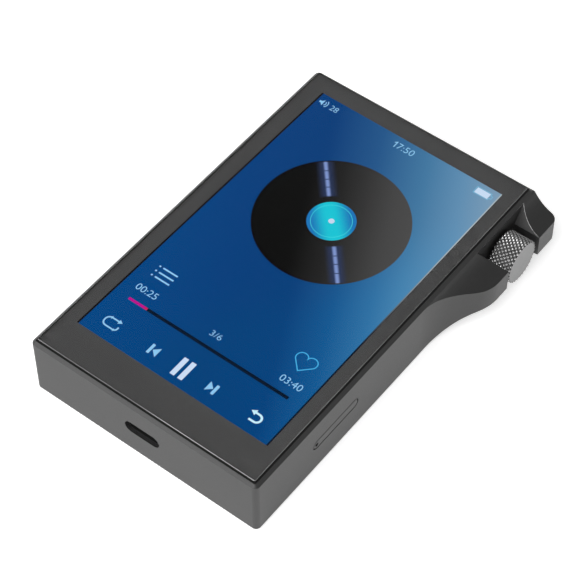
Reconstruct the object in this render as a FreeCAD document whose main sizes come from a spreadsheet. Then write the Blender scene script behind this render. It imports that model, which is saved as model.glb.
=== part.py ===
import FreeCAD, Part
import math
import os
import re
import Sketcher
from FreeCAD import Placement, Rotation, Vector

# Digital audio player with a volume wheel guarded by two shoulders.
# Frame: millimetres, origin at the middle of the back face, +X to the wheel's side,
# +Y to the end with the headphone jack, +Z out through the screen.

SIZES = {
    # how far a cutting outline runs past what it cuts
    "overshoot": 1.0,
    # main housing, machined from one block
    "body_width": 62.4,
    "body_length": 103.1,
    "body_height": 16.6,
    "corner_radius": 1.3,
    "top_chamfer": 0.75,
    "bottom_chamfer": 0.45,
    "wall": 2.3,
    "web_floor": 12.6,
    "web_thickness": 0.8,
    "flex_window_width": 13.6,
    "flex_window_length": 2.4,
    "flex_window_along": -47.6,
    # shoulders either side of the volume wheel
    "shoulder_reach": 6.9,
    "shoulder_root": 1.5,
    "shoulder_corner": 1.9,
    "band_height": 6.1,
    "flank_radius": 10.46,
    "slope_top": 27.6,
    "slope_angle": 33.0,
    "crown_radius": 10.0,
    "foot_radius": 24.0,
    "recess_width": 12.5,
    "recess_flare": 0.69,
    # cover glass and its adhesive gasket
    "glass_width": 60.0,
    "glass_length": 100.8,
    "glass_thickness": 1.1,
    "glass_proud": 0.6,
    "glass_corner": 0.4,
    "glass_bevel": 0.18,
    "glass_gap": 0.33,
    "gasket_slack": 0.04,
    "gasket_floor": 0.25,
    "gasket_lip": 0.35,
    # display module
    "screen_across": 0.0,
    "screen_along": 0.35,
    "panel_width": 54.6,
    "panel_length": 93.1,
    "panel_thickness": 1.2,
    "tray_width": 54.2,
    "tray_length": 89.0,
    "tray_sheet": 0.2,
    "tray_depth": 1.5,
    "tray_shift": 1.8,
    # rear cover
    "rear_thickness": 1.0,
    "rear_rebate": 1.0,
    "rear_gap": 0.1,
    "rear_corner": 1.2,
    "rear_screw_across": 26.2,
    "rear_screw_along": 46.4,
    "rear_boss_radius": 2.2,
    "screw_radius": 0.75,
    "screw_length": 4.2,
    "screw_clearance": 0.15,
    "screw_head_radius": 1.42,
    "screw_head_height": 0.65,
    "screw_head_depth": 0.05,
    "screw_socket_radius": 0.6,
    "screw_socket_depth": 0.4,
    "countersink": 0.6,
    "pilot_slack": 0.05,
    # main circuit board and its screws
    "board_width": 57.0,
    "board_length": 97.6,
    "board_thickness": 1.0,
    "board_drop": 1.7,
    "corner_notch": 5.2,
    "board_boss_radius": 1.8,
    "pan_head_radius": 1.3,
    "pan_head_height": 0.8,
    "pan_grip": 4.0,
    "notch_gap": 0.8,
    "battery_notch_across": -8.0,
    "battery_notch_width": 42.0,
    "jack_notch_length": 13.2,
    "encoder_notch_depth": 9.0,
    # battery and its board
    "battery_width": 37.0,
    "battery_length": 44.0,
    "battery_height": 9.9,
    "battery_across": -5.9,
    "battery_along": 10.0,
    "battery_edge": 1.2,
    "tape_thickness": 0.3,
    "tape_margin": 3.0,
    "battery_board_width": 20.0,
    "battery_board_sheet": 0.5,
    "battery_board_height": 4.0,
    "battery_board_floor": 4.0,
    # ribbon cables
    "ribbon": 0.15,
    "ribbon_margin": 1.0,
    "display_flex_reach": 4.6,
    "display_flex_tab": 3.0,
    "battery_flex_reach": 4.2,
    "battery_flex_drop": 2.6,
    "encoder_flex_reach": 3.8,
    "encoder_flex_rise": 3.4,
    "encoder_flex_width": 4.0,
    "encoder_flex_gap": 0.2,
    # how far the USB port and the card tray sit above the middle of the walls
    "port_rise": 0.4,
    # USB-C receptacle
    "usb_slot_width": 9.5,
    "usb_slot_height": 3.4,
    "usb_width": 8.94,
    "usb_height": 3.26,
    "usb_depth": 7.9,
    "usb_inset": 0.8,
    "usb_sheet": 0.3,
    "tongue_width": 6.7,
    "tongue_height": 0.7,
    "tongue_length": 5.9,
    # headphone jack
    "jack_across": -14.0,
    "jack_bore": 1.8,
    "jack_width": 6.4,
    "jack_height": 5.4,
    "jack_length": 12.9,
    "jack_back": 0.9,
    "jack_ring_radius": 2.75,
    "jack_ring_slack": 0.05,
    "jack_ring_inset": 0.15,
    "jack_contact_width": 1.2,
    "jack_contact_length": 9.0,
    "jack_contact_sheet": 0.3,
    # volume wheel, its shaft and its encoder
    "knob_along": 37.65,
    "knob_radius": 5.5,
    "knob_width": 6.0,
    "knob_gap": 0.55,
    "knob_chamfer": 0.35,
    "knob_bore_depth": 4.9,
    "knob_fit": 0.02,
    "set_screw_radius": 0.8,
    "set_screw_place": 2.0,
    "set_screw_slack": 0.03,
    "set_screw_length": 2.6,
    "set_screw_gap": 0.01,
    "set_screw_socket": 0.7,
    "set_screw_socket_depth": 0.8,
    "shaft_radius": 1.5,
    "shaft_length": 14.3,
    "shaft_fit": 0.06,
    "shaft_chamfer": 0.2,
    "bushing_radius": 3.0,
    "bushing_slack": 0.04,
    "bushing_flange_radius": 4.2,
    "bushing_flange": 0.7,
    "encoder_gap": 0.15,
    "encoder_depth": 7.4,
    "encoder_width": 10.4,
    "encoder_height": 8.4,
    "encoder_chamber_radius": 3.7,
    "encoder_chamber_depth": 5.4,
    "encoder_floor": 0.4,
    "encoder_bore_radius": 1.8,
    "plate_radius": 3.3,
    "plate_thickness": 0.8,
    "plate_place": 1.6,
    "dome_radius": 2.0,
    "dome_height": 0.5,
    "bracket_sheet": 0.6,
    "bracket_foot": 3.0,
    # card tray, socket and ejector
    "tray_along": -24.05,
    "tray_slot_length": 16.1,
    "tray_slot_height": 2.8,
    "tray_gap": 0.15,
    "tray_face": 1.5,
    "tray_edge": 0.2,
    "carrier_length": 15.6,
    "carrier_width": 12.0,
    "carrier_height": 1.0,
    "carrier_shift": 1.15,
    "card_width": 11.1,
    "card_length": 15.1,
    "card_sink": 0.75,
    "pinhole_radius": 0.5,
    "pinhole_shift": -6.75,
    "socket_depth": 20.0,
    "socket_inset": 2.6,
    "socket_width": 17.0,
    "socket_floor": 0.7,
    "socket_height": 3.0,
    "socket_rail": 0.8,
    "socket_rib": 0.4,
    "socket_rib_along": -5.55,
    "socket_rib_length": 14.0,
    "socket_sheet": 0.2,
    "rod_radius": 0.6,
    "rod_length": 16.1,
    "rod_inset": 2.0,
    "pivot_across": 11.5,
    "pivot_shift": -0.75,
    "pivot_radius": 0.8,
    "pivot_fit": 0.05,
    "lever_hub_radius": 1.6,
    "lever_height": 1.2,
    "lever_width": 1.5,
    "lever_push_face": 1.2,
    "lever_lift_face": 0.7,
    "lever_push_arm": 6.5,
    "lever_lift_arm": 6.0,
    # transport keys
    "key_length": 7.7,
    "key_height": 2.5,
    "key_gap": 0.15,
    "key_proud": 0.5,
    "key_spacing": 9.5,
    "key_middle": 16.5,
    "key_flange": 0.7,
    "key_flange_rim": 0.8,
    "key_flange_gap": 0.05,
    "key_post": 0.6,
    "key_post_radius": 0.8,
    "key_edge": 0.3,
    "key_board_across": -25.6,
    "key_board_sheet": 0.4,
    "key_board_length": 30.0,
    "key_board_floor": 5.6,
    "key_board_height": 5.4,
    "key_bracket_sheet": 0.6,
    "key_bracket_height": 7.0,
    "switch_depth": 1.2,
    "switch_length": 4.5,
    "switch_height": 3.2,
}

# Lengths and volumes closer than this count as equal.
TOUCH = 1e-6

# Formulas of the sizes above that several sub-parts share.
HALF_WIDTH = "body_width / 2"
HALF_LENGTH = "body_length / 2"
MID = "body_height / 2"
PORT_LEVEL = MID + " + port_rise"
GLASS_FLOOR = "body_height + glass_proud - glass_thickness"
LEDGE = GLASS_FLOOR + " - gasket_floor"
WEB_TOP = "web_floor + web_thickness"
SHOULDER_FACE = "body_width / 2 + shoulder_reach"
FLANK_START = "body_height / 2 - top_chamfer"
CAVITY_WIDTH = "body_width - 2 * wall"
CAVITY_LENGTH = "body_length - 2 * wall"
BOARD_TOP = "body_height / 2 - board_drop"
BOARD_FLOOR = BOARD_TOP + " - board_thickness"
INNER_WALL = "body_width / 2 - wall"
SLOPE_RUN = "(crown_radius + foot_radius) * (1 - cos(slope_angle))"
SLOPE_FOOT = ("slope_top - (crown_radius + foot_radius) * sin(slope_angle)"
              " - (shoulder_reach - " + SLOPE_RUN + ") / tan(slope_angle)")

# Chips, connectors and other plain blocks on top of the main board:
# width, length, height, then the middle's place across and along.
BOARD_BLOCKS = {
    "processor_chip": (12.0, 12.0, 1.1, -14.5, -26.0),
    "memory_chip": (7.0, 8.0, 0.9, -4.4, -23.0),
    "flash_chip": (4.6, 8.0, 0.9, -4.4, -31.0),
    "power_chip": (6.0, 6.0, 0.9, -6.0, -39.6),
    "wireless_module": (9.0, 8.0, 1.6, 14.0, -38.0),
    "display_connector": (12.0, 2.4, 1.3, -16.0, -43.6),
    "battery_connector": (5.0, 3.0, 1.0, -5.5, -15.2),
}

# Chips that come as identical pairs: size, then the places of both.
BOARD_PAIRS = {
    "dac_chips": ((7.0, 7.0, 0.9), ((19.0, -3.5), (19.0, 15.5))),
    "amplifier_chips": ((5.0, 5.0, 0.9), ((-3.5, 37.5), (9.5, 37.5))),
    "clock_oscillators": ((5.0, 3.2, 1.2), ((19.0, 3.5), (19.0, 8.5))),
}

CAPACITOR_RADIUS = 2.0
CAPACITOR_HEIGHT = 4.4
CAPACITOR_PLACES = ((-6.5, 45.0), (-1.5, 45.0), (3.5, 45.0), (8.5, 45.0))
BOARD_SCREWS = ((-25.0, -16.5), (-25.0, -38.5), (25.0, -37.5), (4.8, -16.5), (25.0, 1.0), (16.2, 28.0),
                (-22.5, 41.0))
SHIELD_CAN = (22.0, 17.4, 2.2, -11.5, -27.2)
SHIELD_SHEET = 0.2

for name, (width, length, height, across, along) in BOARD_BLOCKS.items():
    SIZES.update({name + "_width": width, name + "_length": length, name + "_height": height,
                  name + "_across": across, name + "_along": along})

doc = FreeCAD.newDocument("digital_audio_player")
sheet = doc.addObject("Spreadsheet::Sheet", "dims")
for row, (name, size) in enumerate(SIZES.items(), 1):
    sheet.set("A%d" % row, name)
    sheet.set("B%d" % row, str(size))
    sheet.setAlias("B%d" % row, name)
doc.recompute()

PARTS = []


# ---------------------------------------------------------------- formulas and sketches

def bound(formula):
    """Point each size's name in a formula at its cell of the sheet."""
    def cell(word):
        return "dims." + word.group() if word.group() in SIZES else word.group()
    return re.sub(r"[a-z_]+", cell, formula)


def number(formula):
    """The value that a formula has now."""
    return float(sheet.evalExpression(bound(formula)))


def bind(thing, **properties):
    """Bind properties to formulas; a double underscore stands for a dot."""
    for name, formula in properties.items():
        thing.setExpression(name.replace("__", "."), bound(formula))


def keep(thing, label):
    """Name an object as a sub-part of the player."""
    thing.Label = label
    PARTS.append(thing)
    return thing


def place(thing, across="0", along="0", up="0", rotation=Rotation()):
    """Give an object its rotation, and bind its position to formulas."""
    thing.Placement = Placement(Vector(number(across), number(along), number(up)), rotation)
    bind(thing, Placement__Base__x=across, Placement__Base__y=along, Placement__Base__z=up)
    return thing


def new_body(label):
    return keep(doc.addObject("PartDesign::Body", label), label)


def new_sketch(body, role, offset="0"):
    """A sketch on one of the body's own origin planes, moved along that plane's normal."""
    plane = next(item for item in body.Origin.OriginFeatures if item.Role == role)
    sketch = body.newObject("Sketcher::SketchObject", body.Name + "_sketch")
    sketch.AttachmentSupport = [(plane, "")]
    sketch.MapMode = "FlatFace"
    sketch.AttachmentOffset = Placement(Vector(0, 0, number(offset)), Rotation())
    bind(sketch, AttachmentOffset__Base__z=offset)
    return sketch


def pin(sketch, curve, end, across, up):
    """Hold a point of a curve at a place given by two formulas."""
    for kind, formula in (("DistanceX", across), ("DistanceY", up)):
        index = sketch.addConstraint(Sketcher.Constraint(kind, -1, 1, curve, end, number(formula)))
        sketch.setExpression("Constraints[%d]" % index, bound(formula))


def fix_radius(sketch, curve, radius):
    index = sketch.addConstraint(Sketcher.Constraint("Radius", curve, number(radius)))
    sketch.setExpression("Constraints[%d]" % index, bound(radius))


def arc_between(start, end, radius, bend):
    """The arc of a given radius from start to end, bending to the left or right."""
    chord = end - start
    side = Vector(-chord.y, chord.x, 0).normalize() * (1 if bend == "left" else -1)
    rise = math.sqrt(max(radius ** 2 - (chord.Length / 2) ** 2, 0.0))
    centre = (start + end) * 0.5 + side * rise
    first, last = (start, end) if bend == "left" else (end, start)
    angles = [math.atan2(point.y - centre.y, point.x - centre.x) for point in (first, last)]
    return Part.ArcOfCircle(Part.Circle(centre, Vector(0, 0, 1), radius), *angles)


def outline(sketch, corners):
    """A closed outline; a corner (x, y, radius, bend) starts an arc, and (x, y) a straight line."""
    places = [Vector(number(corner[0]), number(corner[1]), 0) for corner in corners]
    curves = []
    for corner, start, end in zip(corners, places, places[1:] + places[:1]):
        if len(corner) == 2:
            curves.append((sketch.addGeometry(Part.LineSegment(start, end)), 1, 2))
        else:
            arc = sketch.addGeometry(arc_between(start, end, number(corner[2]), corner[3]))
            curves.append((arc, 1, 2) if corner[3] == "left" else (arc, 2, 1))
    for (curve, _, leaving), (following, entering, _) in zip(curves, curves[1:] + curves[:1]):
        sketch.addConstraint(Sketcher.Constraint("Coincident", curve, leaving, following, entering))
    for (curve, entering, _), corner in zip(curves, corners):
        pin(sketch, curve, entering, corner[0], corner[1])
        if len(corner) == 4:
            fix_radius(sketch, curve, corner[2])
    return sketch


def rectangle(sketch, across, up, width, height, radius=None):
    """A rectangle about a middle point, with round corners if a radius is given."""
    left, right = "%s - (%s) / 2" % (across, width), "%s + (%s) / 2" % (across, width)
    low, high = "%s - (%s) / 2" % (up, height), "%s + (%s) / 2" % (up, height)
    if radius is None:
        return outline(sketch, [(left, low), (right, low), (right, high), (left, high)])
    inner_left, inner_right = left + " + " + radius, right + " - " + radius
    inner_low, inner_high = low + " + " + radius, high + " - " + radius
    return outline(sketch, [
        (inner_left, low), (inner_right, low, radius, "left"),
        (right, inner_low), (right, inner_high, radius, "left"),
        (inner_right, high), (inner_left, high, radius, "left"),
        (left, inner_high), (left, inner_low, radius, "left")])


def circle(sketch, across, up, radius):
    spot = Vector(number(across), number(up), 0)
    ring = sketch.addGeometry(Part.Circle(spot, Vector(0, 0, 1), number(radius)))
    pin(sketch, ring, 3, across, up)
    fix_radius(sketch, ring, radius)
    return sketch


def stadium(sketch, across, up, width, height):
    """A slot with half-round ends, longer in the sketch's first direction."""
    radius = number(height) / 2
    reach = (number(width) - number(height)) / 2
    arcs = []
    for side in (1, -1):
        centre = Vector(number(across) + side * reach, number(up), 0)
        start = -side * math.pi / 2
        arc = Part.ArcOfCircle(Part.Circle(centre, Vector(0, 0, 1), radius), start, start + math.pi)
        arcs.append(sketch.addGeometry(arc))
        middle = "%s %s ((%s) - (%s)) / 2" % (across, "+" if side > 0 else "-", width, height)
        pin(sketch, arcs[-1], 3, middle, up)
        fix_radius(sketch, arcs[-1], "(%s) / 2" % height)
    for first, second in (arcs, arcs[::-1]):
        bridge = sketch.addGeometry(Part.LineSegment(sketch.getPoint(first, 2), sketch.getPoint(second, 1)))
        sketch.addConstraint(Sketcher.Constraint("Tangent", first, 2, bridge, 1))
        sketch.addConstraint(Sketcher.Constraint("Tangent", bridge, 2, second, 1))
    return sketch


# ---------------------------------------------------------------- features

def pad(body, sketch, length, against_normal=False):
    feature = body.newObject("PartDesign::Pad", body.Name + "_pad")
    feature.Profile = sketch
    bind(feature, Length=length)
    feature.Reversed = against_normal
    doc.recompute()
    return feature


def cut(body, sketch, length, against_normal=False):
    """Pocket along the sketch's normal or against it, and prove that it removed something."""
    before = body.Shape.Volume
    feature = body.newObject("PartDesign::Pocket", body.Name + "_pocket")
    feature.Profile = sketch
    bind(feature, Length=length)
    feature.Reversed = not against_normal
    doc.recompute()
    if body.Shape.Volume > before - TOUCH:
        raise RuntimeError(feature.Name + " removes nothing")
    return feature


def dress(body, kind, size, chosen):
    """Fillet or chamfer the edges of the body that the test chooses."""
    base = body.Tip
    names = ["Edge%d" % index for index, edge in enumerate(base.Shape.Edges, 1) if chosen(edge)]
    feature = body.newObject("PartDesign::" + kind, body.Name + "_" + kind.lower())
    feature.Base = (base, names)
    bind(feature, **{"Radius" if kind == "Fillet" else "Size": size})
    doc.recompute()
    return feature


def at_height(formula):
    """A test for edges that lie in one horizontal plane."""
    height = number(formula)
    return lambda edge: all(abs(z - height) < TOUCH for z in (edge.BoundBox.ZMin, edge.BoundBox.ZMax))


def at_outer_face(edge):
    """A test for edges of a side part that lie in its sketch plane, which is its outer face."""
    return is_across_axis(edge) and abs(edge.BoundBox.XMax) < TOUCH


def is_across_axis(edge):
    """A test for edges that lie in one plane across the X axis."""
    return edge.BoundBox.XLength < TOUCH


def is_upright(edge):
    box = edge.BoundBox
    return box.XLength < TOUCH and box.YLength < TOUCH


def block(name, width, length, height, across="0", along="0", up="0"):
    """A Part::Box about a middle point, standing on the given height."""
    thing = doc.addObject("Part::Box", name)
    bind(thing, Length=width, Width=length, Height=height)
    return place(thing, "%s - (%s) / 2" % (across, width), "%s - (%s) / 2" % (along, length), up)


def rod(name, radius, length, across="0", along="0", up="0", rotation=Rotation()):
    thing = doc.addObject("Part::Cylinder", name)
    bind(thing, Radius=radius, Height=length)
    return place(thing, across, along, up, rotation)


def join(name, pieces):
    thing = doc.addObject("Part::MultiFuse", name)
    thing.Shapes = pieces
    return thing


def take_away(name, base, tool):
    thing = doc.addObject("Part::Cut", name)
    thing.Base = base
    thing.Tool = tool
    return thing


def group(label, pieces):
    """Identical pieces that share one node, each still a solid of its own."""
    thing = doc.addObject("Part::Compound", label)
    thing.Links = pieces
    return keep(thing, label)


ALONG_X = Rotation(Vector(0, 1, 0), 90)


# ---------------------------------------------------------------- housing

def add_shoulders(body):
    """The two shoulders: one bar with hollow flanks, trimmed in plan, then parted by the wheel's recess."""
    inside = "body_width / 2 - shoulder_root"
    section = new_sketch(body, "XZ_Plane", "-" + HALF_LENGTH)
    low, high = "%s - (%s)" % (MID, FLANK_START), "%s + (%s)" % (MID, FLANK_START)
    band_low, band_high = MID + " - band_height / 2", MID + " + band_height / 2"
    outline(section, [
        (inside, low), (HALF_WIDTH, low, "flank_radius", "right"),
        (SHOULDER_FACE, band_low), (SHOULDER_FACE, band_high, "flank_radius", "right"),
        (HALF_WIDTH, high), (inside, high)])
    pad(body, section, HALF_LENGTH)

    beyond = SHOULDER_FACE + " + overshoot"
    crown_run = "crown_radius * (1 - cos(slope_angle))"
    foot_run = "foot_radius * (1 - cos(slope_angle))"
    slope = new_sketch(body, "XY_Plane")
    outline(slope, [
        (HALF_WIDTH, SLOPE_FOOT, "foot_radius", "right"),
        (HALF_WIDTH + " + " + foot_run, SLOPE_FOOT + " + foot_radius * sin(slope_angle)"),
        (SHOULDER_FACE + " - " + crown_run, "slope_top - crown_radius * sin(slope_angle)",
         "crown_radius", "left"),
        (SHOULDER_FACE, "slope_top"),
        (beyond, "slope_top"), (beyond, "-overshoot"), (HALF_WIDTH, "-overshoot")])
    cut(body, slope, "body_height")

    corner = new_sketch(body, "XY_Plane")
    outline(corner, [
        (SHOULDER_FACE, HALF_LENGTH + " - shoulder_corner", "shoulder_corner", "left"),
        (SHOULDER_FACE + " - shoulder_corner", HALF_LENGTH),
        (SHOULDER_FACE + " - shoulder_corner", HALF_LENGTH + " + overshoot"),
        (beyond, HALF_LENGTH + " + overshoot"),
        (beyond, HALF_LENGTH + " - shoulder_corner")])
    cut(body, corner, "body_height")

    recess = new_sketch(body, "YZ_Plane", HALF_WIDTH)
    throat, mouth = "recess_width / 2", "(recess_width / 2 + recess_flare * (body_height - band_height) / 2)"
    left, right = "knob_along - ", "knob_along + "
    outline(recess, [
        (left + mouth, "0"), (right + mouth, "0"),
        (right + throat, band_low), (right + throat, band_high),
        (right + mouth, "body_height"), (left + mouth, "body_height"),
        (left + throat, band_high), (left + throat, band_low)])
    cut(body, recess, "shoulder_reach + overshoot")


def hollow_out(body):
    """The glass seat, the display well, the rear cavity and the rear cover's rebate."""
    seat = new_sketch(body, "XY_Plane", LEDGE)
    rectangle(seat, "0", "0", "glass_width + 2 * glass_gap", "glass_length + 2 * glass_gap",
              "glass_corner")
    cut(body, seat, "body_height")
    well = new_sketch(body, "XY_Plane", WEB_TOP)
    rectangle(well, "0", "0", CAVITY_WIDTH, CAVITY_LENGTH, "corner_radius")
    cut(body, well, "body_height")
    cavity = new_sketch(body, "XY_Plane")
    rectangle(cavity, "0", "0", CAVITY_WIDTH, CAVITY_LENGTH, "corner_radius")
    cut(body, cavity, "web_floor")
    rebate = new_sketch(body, "XY_Plane")
    rectangle(rebate, "0", "0", CAVITY_WIDTH + " + 2 * rear_rebate",
              CAVITY_LENGTH + " + 2 * rear_rebate", "rear_corner")
    cut(body, rebate, "rear_thickness")


def add_bosses(body):
    """Bosses under the web: four for the rear cover, the rest for the main board."""
    corner_bosses = new_sketch(body, "XY_Plane", "rear_thickness")
    corner_pilots = new_sketch(body, "XY_Plane", "rear_thickness")
    for side in ("", "-"):
        for end in ("", "-"):
            spot = (side + "rear_screw_across", end + "rear_screw_along")
            circle(corner_bosses, *spot, "rear_boss_radius")
            circle(corner_pilots, *spot, "screw_radius + pilot_slack")
    pad(body, corner_bosses, "web_floor - rear_thickness")
    cut(body, corner_pilots, "screw_length")

    board_bosses = new_sketch(body, "XY_Plane", BOARD_TOP)
    board_pilots = new_sketch(body, "XY_Plane", BOARD_TOP)
    for across, along in BOARD_SCREWS:
        circle(board_bosses, str(across), str(along), "board_boss_radius")
        circle(board_pilots, str(across), str(along), "screw_radius + pilot_slack")
    pad(body, board_bosses, "web_floor - (%s)" % BOARD_TOP)
    cut(body, board_pilots, "pan_grip")


def open_ports(body):
    """Every hole through the walls and the web."""
    window = new_sketch(body, "XY_Plane", "web_floor")
    rectangle(window, "display_connector_across", "flex_window_along",
              "flex_window_width", "flex_window_length")
    cut(body, window, "web_thickness")

    usb = new_sketch(body, "XZ_Plane", HALF_LENGTH)
    stadium(usb, "0", PORT_LEVEL, "usb_slot_width", "usb_slot_height")
    cut(body, usb, "wall", against_normal=True)

    jack = new_sketch(body, "XZ_Plane", "-" + HALF_LENGTH)
    circle(jack, "jack_across", MID, "jack_ring_radius + jack_ring_slack")
    cut(body, jack, "wall")

    tray = new_sketch(body, "YZ_Plane", HALF_WIDTH)
    stadium(tray, "tray_along", PORT_LEVEL, "tray_slot_length", "tray_slot_height")
    cut(body, tray, "wall", against_normal=True)

    bushing = new_sketch(body, "YZ_Plane", HALF_WIDTH)
    circle(bushing, "knob_along", MID, "bushing_radius + bushing_slack")
    cut(body, bushing, "wall", against_normal=True)

    keys = new_sketch(body, "YZ_Plane", "-" + HALF_WIDTH)
    for step in (-1, 0, 1):
        stadium(keys, "key_middle + %d * key_spacing" % step, MID,
                "key_length + 2 * key_gap", "key_height + 2 * key_gap")
    cut(body, keys, "wall")


def main_housing():
    body = new_body("main_housing")
    plan = rectangle(new_sketch(body, "XY_Plane"), "0", "0", "body_width", "body_length")
    pad(body, plan, "body_height")
    dress(body, "Fillet", "corner_radius", is_upright)
    dress(body, "Chamfer", "top_chamfer", at_height("body_height"))
    dress(body, "Chamfer", "bottom_chamfer", at_height("0"))
    add_shoulders(body)
    hollow_out(body)
    add_bosses(body)
    open_ports(body)


def rear_cover():
    body = new_body("rear_cover")
    plan = new_sketch(body, "XY_Plane")
    rectangle(plan, "0", "0", CAVITY_WIDTH + " + 2 * (rear_rebate - rear_gap)",
              CAVITY_LENGTH + " + 2 * (rear_rebate - rear_gap)", "rear_corner")
    pad(body, plan, "rear_thickness")
    holes = new_sketch(body, "XY_Plane")
    for side in ("", "-"):
        for end in ("", "-"):
            circle(holes, side + "rear_screw_across", end + "rear_screw_along",
                   "screw_radius + screw_clearance")
    cut(body, holes, "rear_thickness")
    mouth = number("screw_radius + screw_clearance")

    def is_hole_mouth(edge):
        round_edge = hasattr(edge.Curve, "Radius") and abs(edge.Curve.Radius - mouth) < TOUCH
        return round_edge and at_height("0")(edge)
    dress(body, "Chamfer", "countersink", is_hole_mouth)


def screws(label, places, head, head_floor, socket_floor, shank_floor, shank_length):
    """Screws that point up, made by a function that draws the head at one place."""
    pieces = []
    for index, (across, along) in enumerate(places):
        name = "%s_%d" % (label, index)
        cap = head(name + "_head", across, along, head_floor)
        shank = rod(name + "_shank", "screw_radius", shank_length, across, along, shank_floor)
        socket = doc.addObject("Part::Prism", name + "_socket")
        socket.Polygon = 6
        bind(socket, Circumradius="screw_socket_radius", Height="screw_socket_depth")
        place(socket, across, along, socket_floor)
        pieces.append(take_away(name, join(name + "_blank", [cap, shank]), socket))
    group(label, pieces)


def countersunk_head(name, across, along, floor):
    cone = doc.addObject("Part::Cone", name)
    bind(cone, Radius1="screw_head_radius", Radius2="screw_radius", Height="screw_head_height")
    return place(cone, across, along, floor)


def pan_head(name, across, along, floor):
    return rod(name, "pan_head_radius", "pan_head_height", across, along, floor)


def fasteners():
    corners = [(side + "rear_screw_across", end + "rear_screw_along")
               for side in ("", "-") for end in ("", "-")]
    head_floor = "screw_head_depth"
    screws("rear_cover_screws", corners, countersunk_head, head_floor, head_floor,
           "screw_head_depth + screw_head_height", "screw_length")
    seats = [(str(across), str(along)) for across, along in BOARD_SCREWS]
    floor = BOARD_FLOOR + " - pan_head_height"
    screws("board_screws", seats, pan_head, floor, floor, BOARD_FLOOR,
           "pan_grip + board_thickness - 2 * pilot_slack")


# ---------------------------------------------------------------- screen

def cover_glass():
    body = new_body("cover_glass")
    plan = rectangle(new_sketch(body, "XY_Plane"), "0", "0", "glass_width", "glass_length", "glass_corner")
    pad(body, plan, "glass_thickness")
    dress(body, "Chamfer", "glass_bevel", at_height("glass_thickness"))
    place(body, up=GLASS_FLOOR)


def glass_gasket():
    """An adhesive frame under the glass with a thin lip in the gap round its edge."""
    body = new_body("glass_gasket")
    outer = ("glass_width + 2 * (glass_gap - gasket_slack)", "glass_length + 2 * (glass_gap - gasket_slack)")
    plan = rectangle(new_sketch(body, "XY_Plane"), "0", "0", *outer, "glass_corner")
    pad(body, plan, "gasket_floor + gasket_lip")
    glass_nest = new_sketch(body, "XY_Plane", "gasket_floor")
    rectangle(glass_nest, "0", "0", "glass_width + 2 * gasket_slack", "glass_length + 2 * gasket_slack",
              "glass_corner")
    cut(body, glass_nest, "gasket_lip")
    opening = rectangle(new_sketch(body, "XY_Plane"), "0", "0", CAVITY_WIDTH, CAVITY_LENGTH, "corner_radius")
    cut(body, opening, "gasket_floor")
    place(body, up=LEDGE)


def display_module():
    """The LCD panel, and under it the steel tray that holds the backlight."""
    panel_floor = GLASS_FLOOR + " - panel_thickness"
    keep(block("lcd_panel", "panel_width", "panel_length", "panel_thickness",
               "screen_across", "screen_along", panel_floor), "lcd_panel")

    along = "screen_along + tray_shift"
    body = new_body("backlight_tray")
    plan = rectangle(new_sketch(body, "XY_Plane"), "0", "0", "tray_width", "tray_length")
    pad(body, plan, "tray_depth")
    nest = new_sketch(body, "XY_Plane", "tray_sheet")
    rectangle(nest, "0", "0", "tray_width - 2 * tray_sheet", "tray_length - 2 * tray_sheet")
    cut(body, nest, "tray_depth")
    place(body, "screen_across", along, panel_floor + " - tray_depth")
    keep(block("backlight_unit", "tray_width - 2 * tray_sheet", "tray_length - 2 * tray_sheet",
               "tray_depth - tray_sheet", "screen_across", along,
               panel_floor + " - tray_depth + tray_sheet"), "backlight_unit")


def ribbon_cable(label, corners, width, across, along, up, rotation=Rotation()):
    """A flat ribbon, drawn edge-on in the XZ plane, and padded across its width."""
    body = new_body(label)
    profile = new_sketch(body, "XZ_Plane", "-(%s) / 2" % width)
    outline(profile, corners)
    pad(body, profile, width)
    place(body, across, along, up, rotation)


def ribbon_cables():
    """Three ribbons: from the panel, from the battery, and from the encoder, down to the board."""
    quarter_turn = Rotation(Vector(0, 0, 1), 90)
    top = GLASS_FLOOR + " - panel_thickness - (%s) - display_connector_height" % BOARD_TOP
    inner_top = top + " - ribbon"
    ribbon_cable("display_flex", [
        ("-display_flex_reach", "0"), ("0", "0"), ("0", top), ("-display_flex_tab", top),
        ("-display_flex_tab", inner_top), ("-ribbon", inner_top), ("-ribbon", "ribbon"),
        ("-display_flex_reach", "ribbon")],
        "display_connector_width - ribbon_margin", "display_connector_across", "flex_window_along",
        BOARD_TOP + " + display_connector_height", Rotation(Vector(0, 0, 1), -90))

    battery_end = "battery_along - battery_length / 2"
    ribbon_cable("battery_flex", [
        ("-battery_flex_reach", "0"), ("-ribbon", "0"), ("-ribbon", "-battery_flex_drop"),
        ("0", "-battery_flex_drop"), ("0", "ribbon"), ("-battery_flex_reach", "ribbon")],
        "battery_connector_width - ribbon_margin", "battery_connector_across",
        battery_end + " - battery_board_sheet",
        BOARD_TOP + " + battery_connector_height", quarter_turn)

    ribbon_cable("encoder_flex", [
        ("-encoder_flex_reach", "0"), ("0", "0"), ("0", "encoder_flex_rise"),
        ("-ribbon", "encoder_flex_rise"), ("-ribbon", "ribbon"), ("-encoder_flex_reach", "ribbon")],
        "encoder_flex_width",
        INNER_WALL + " - bushing_flange - encoder_depth - bracket_sheet - encoder_flex_gap",
        "knob_along", BOARD_TOP)


# ---------------------------------------------------------------- board and battery

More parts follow.
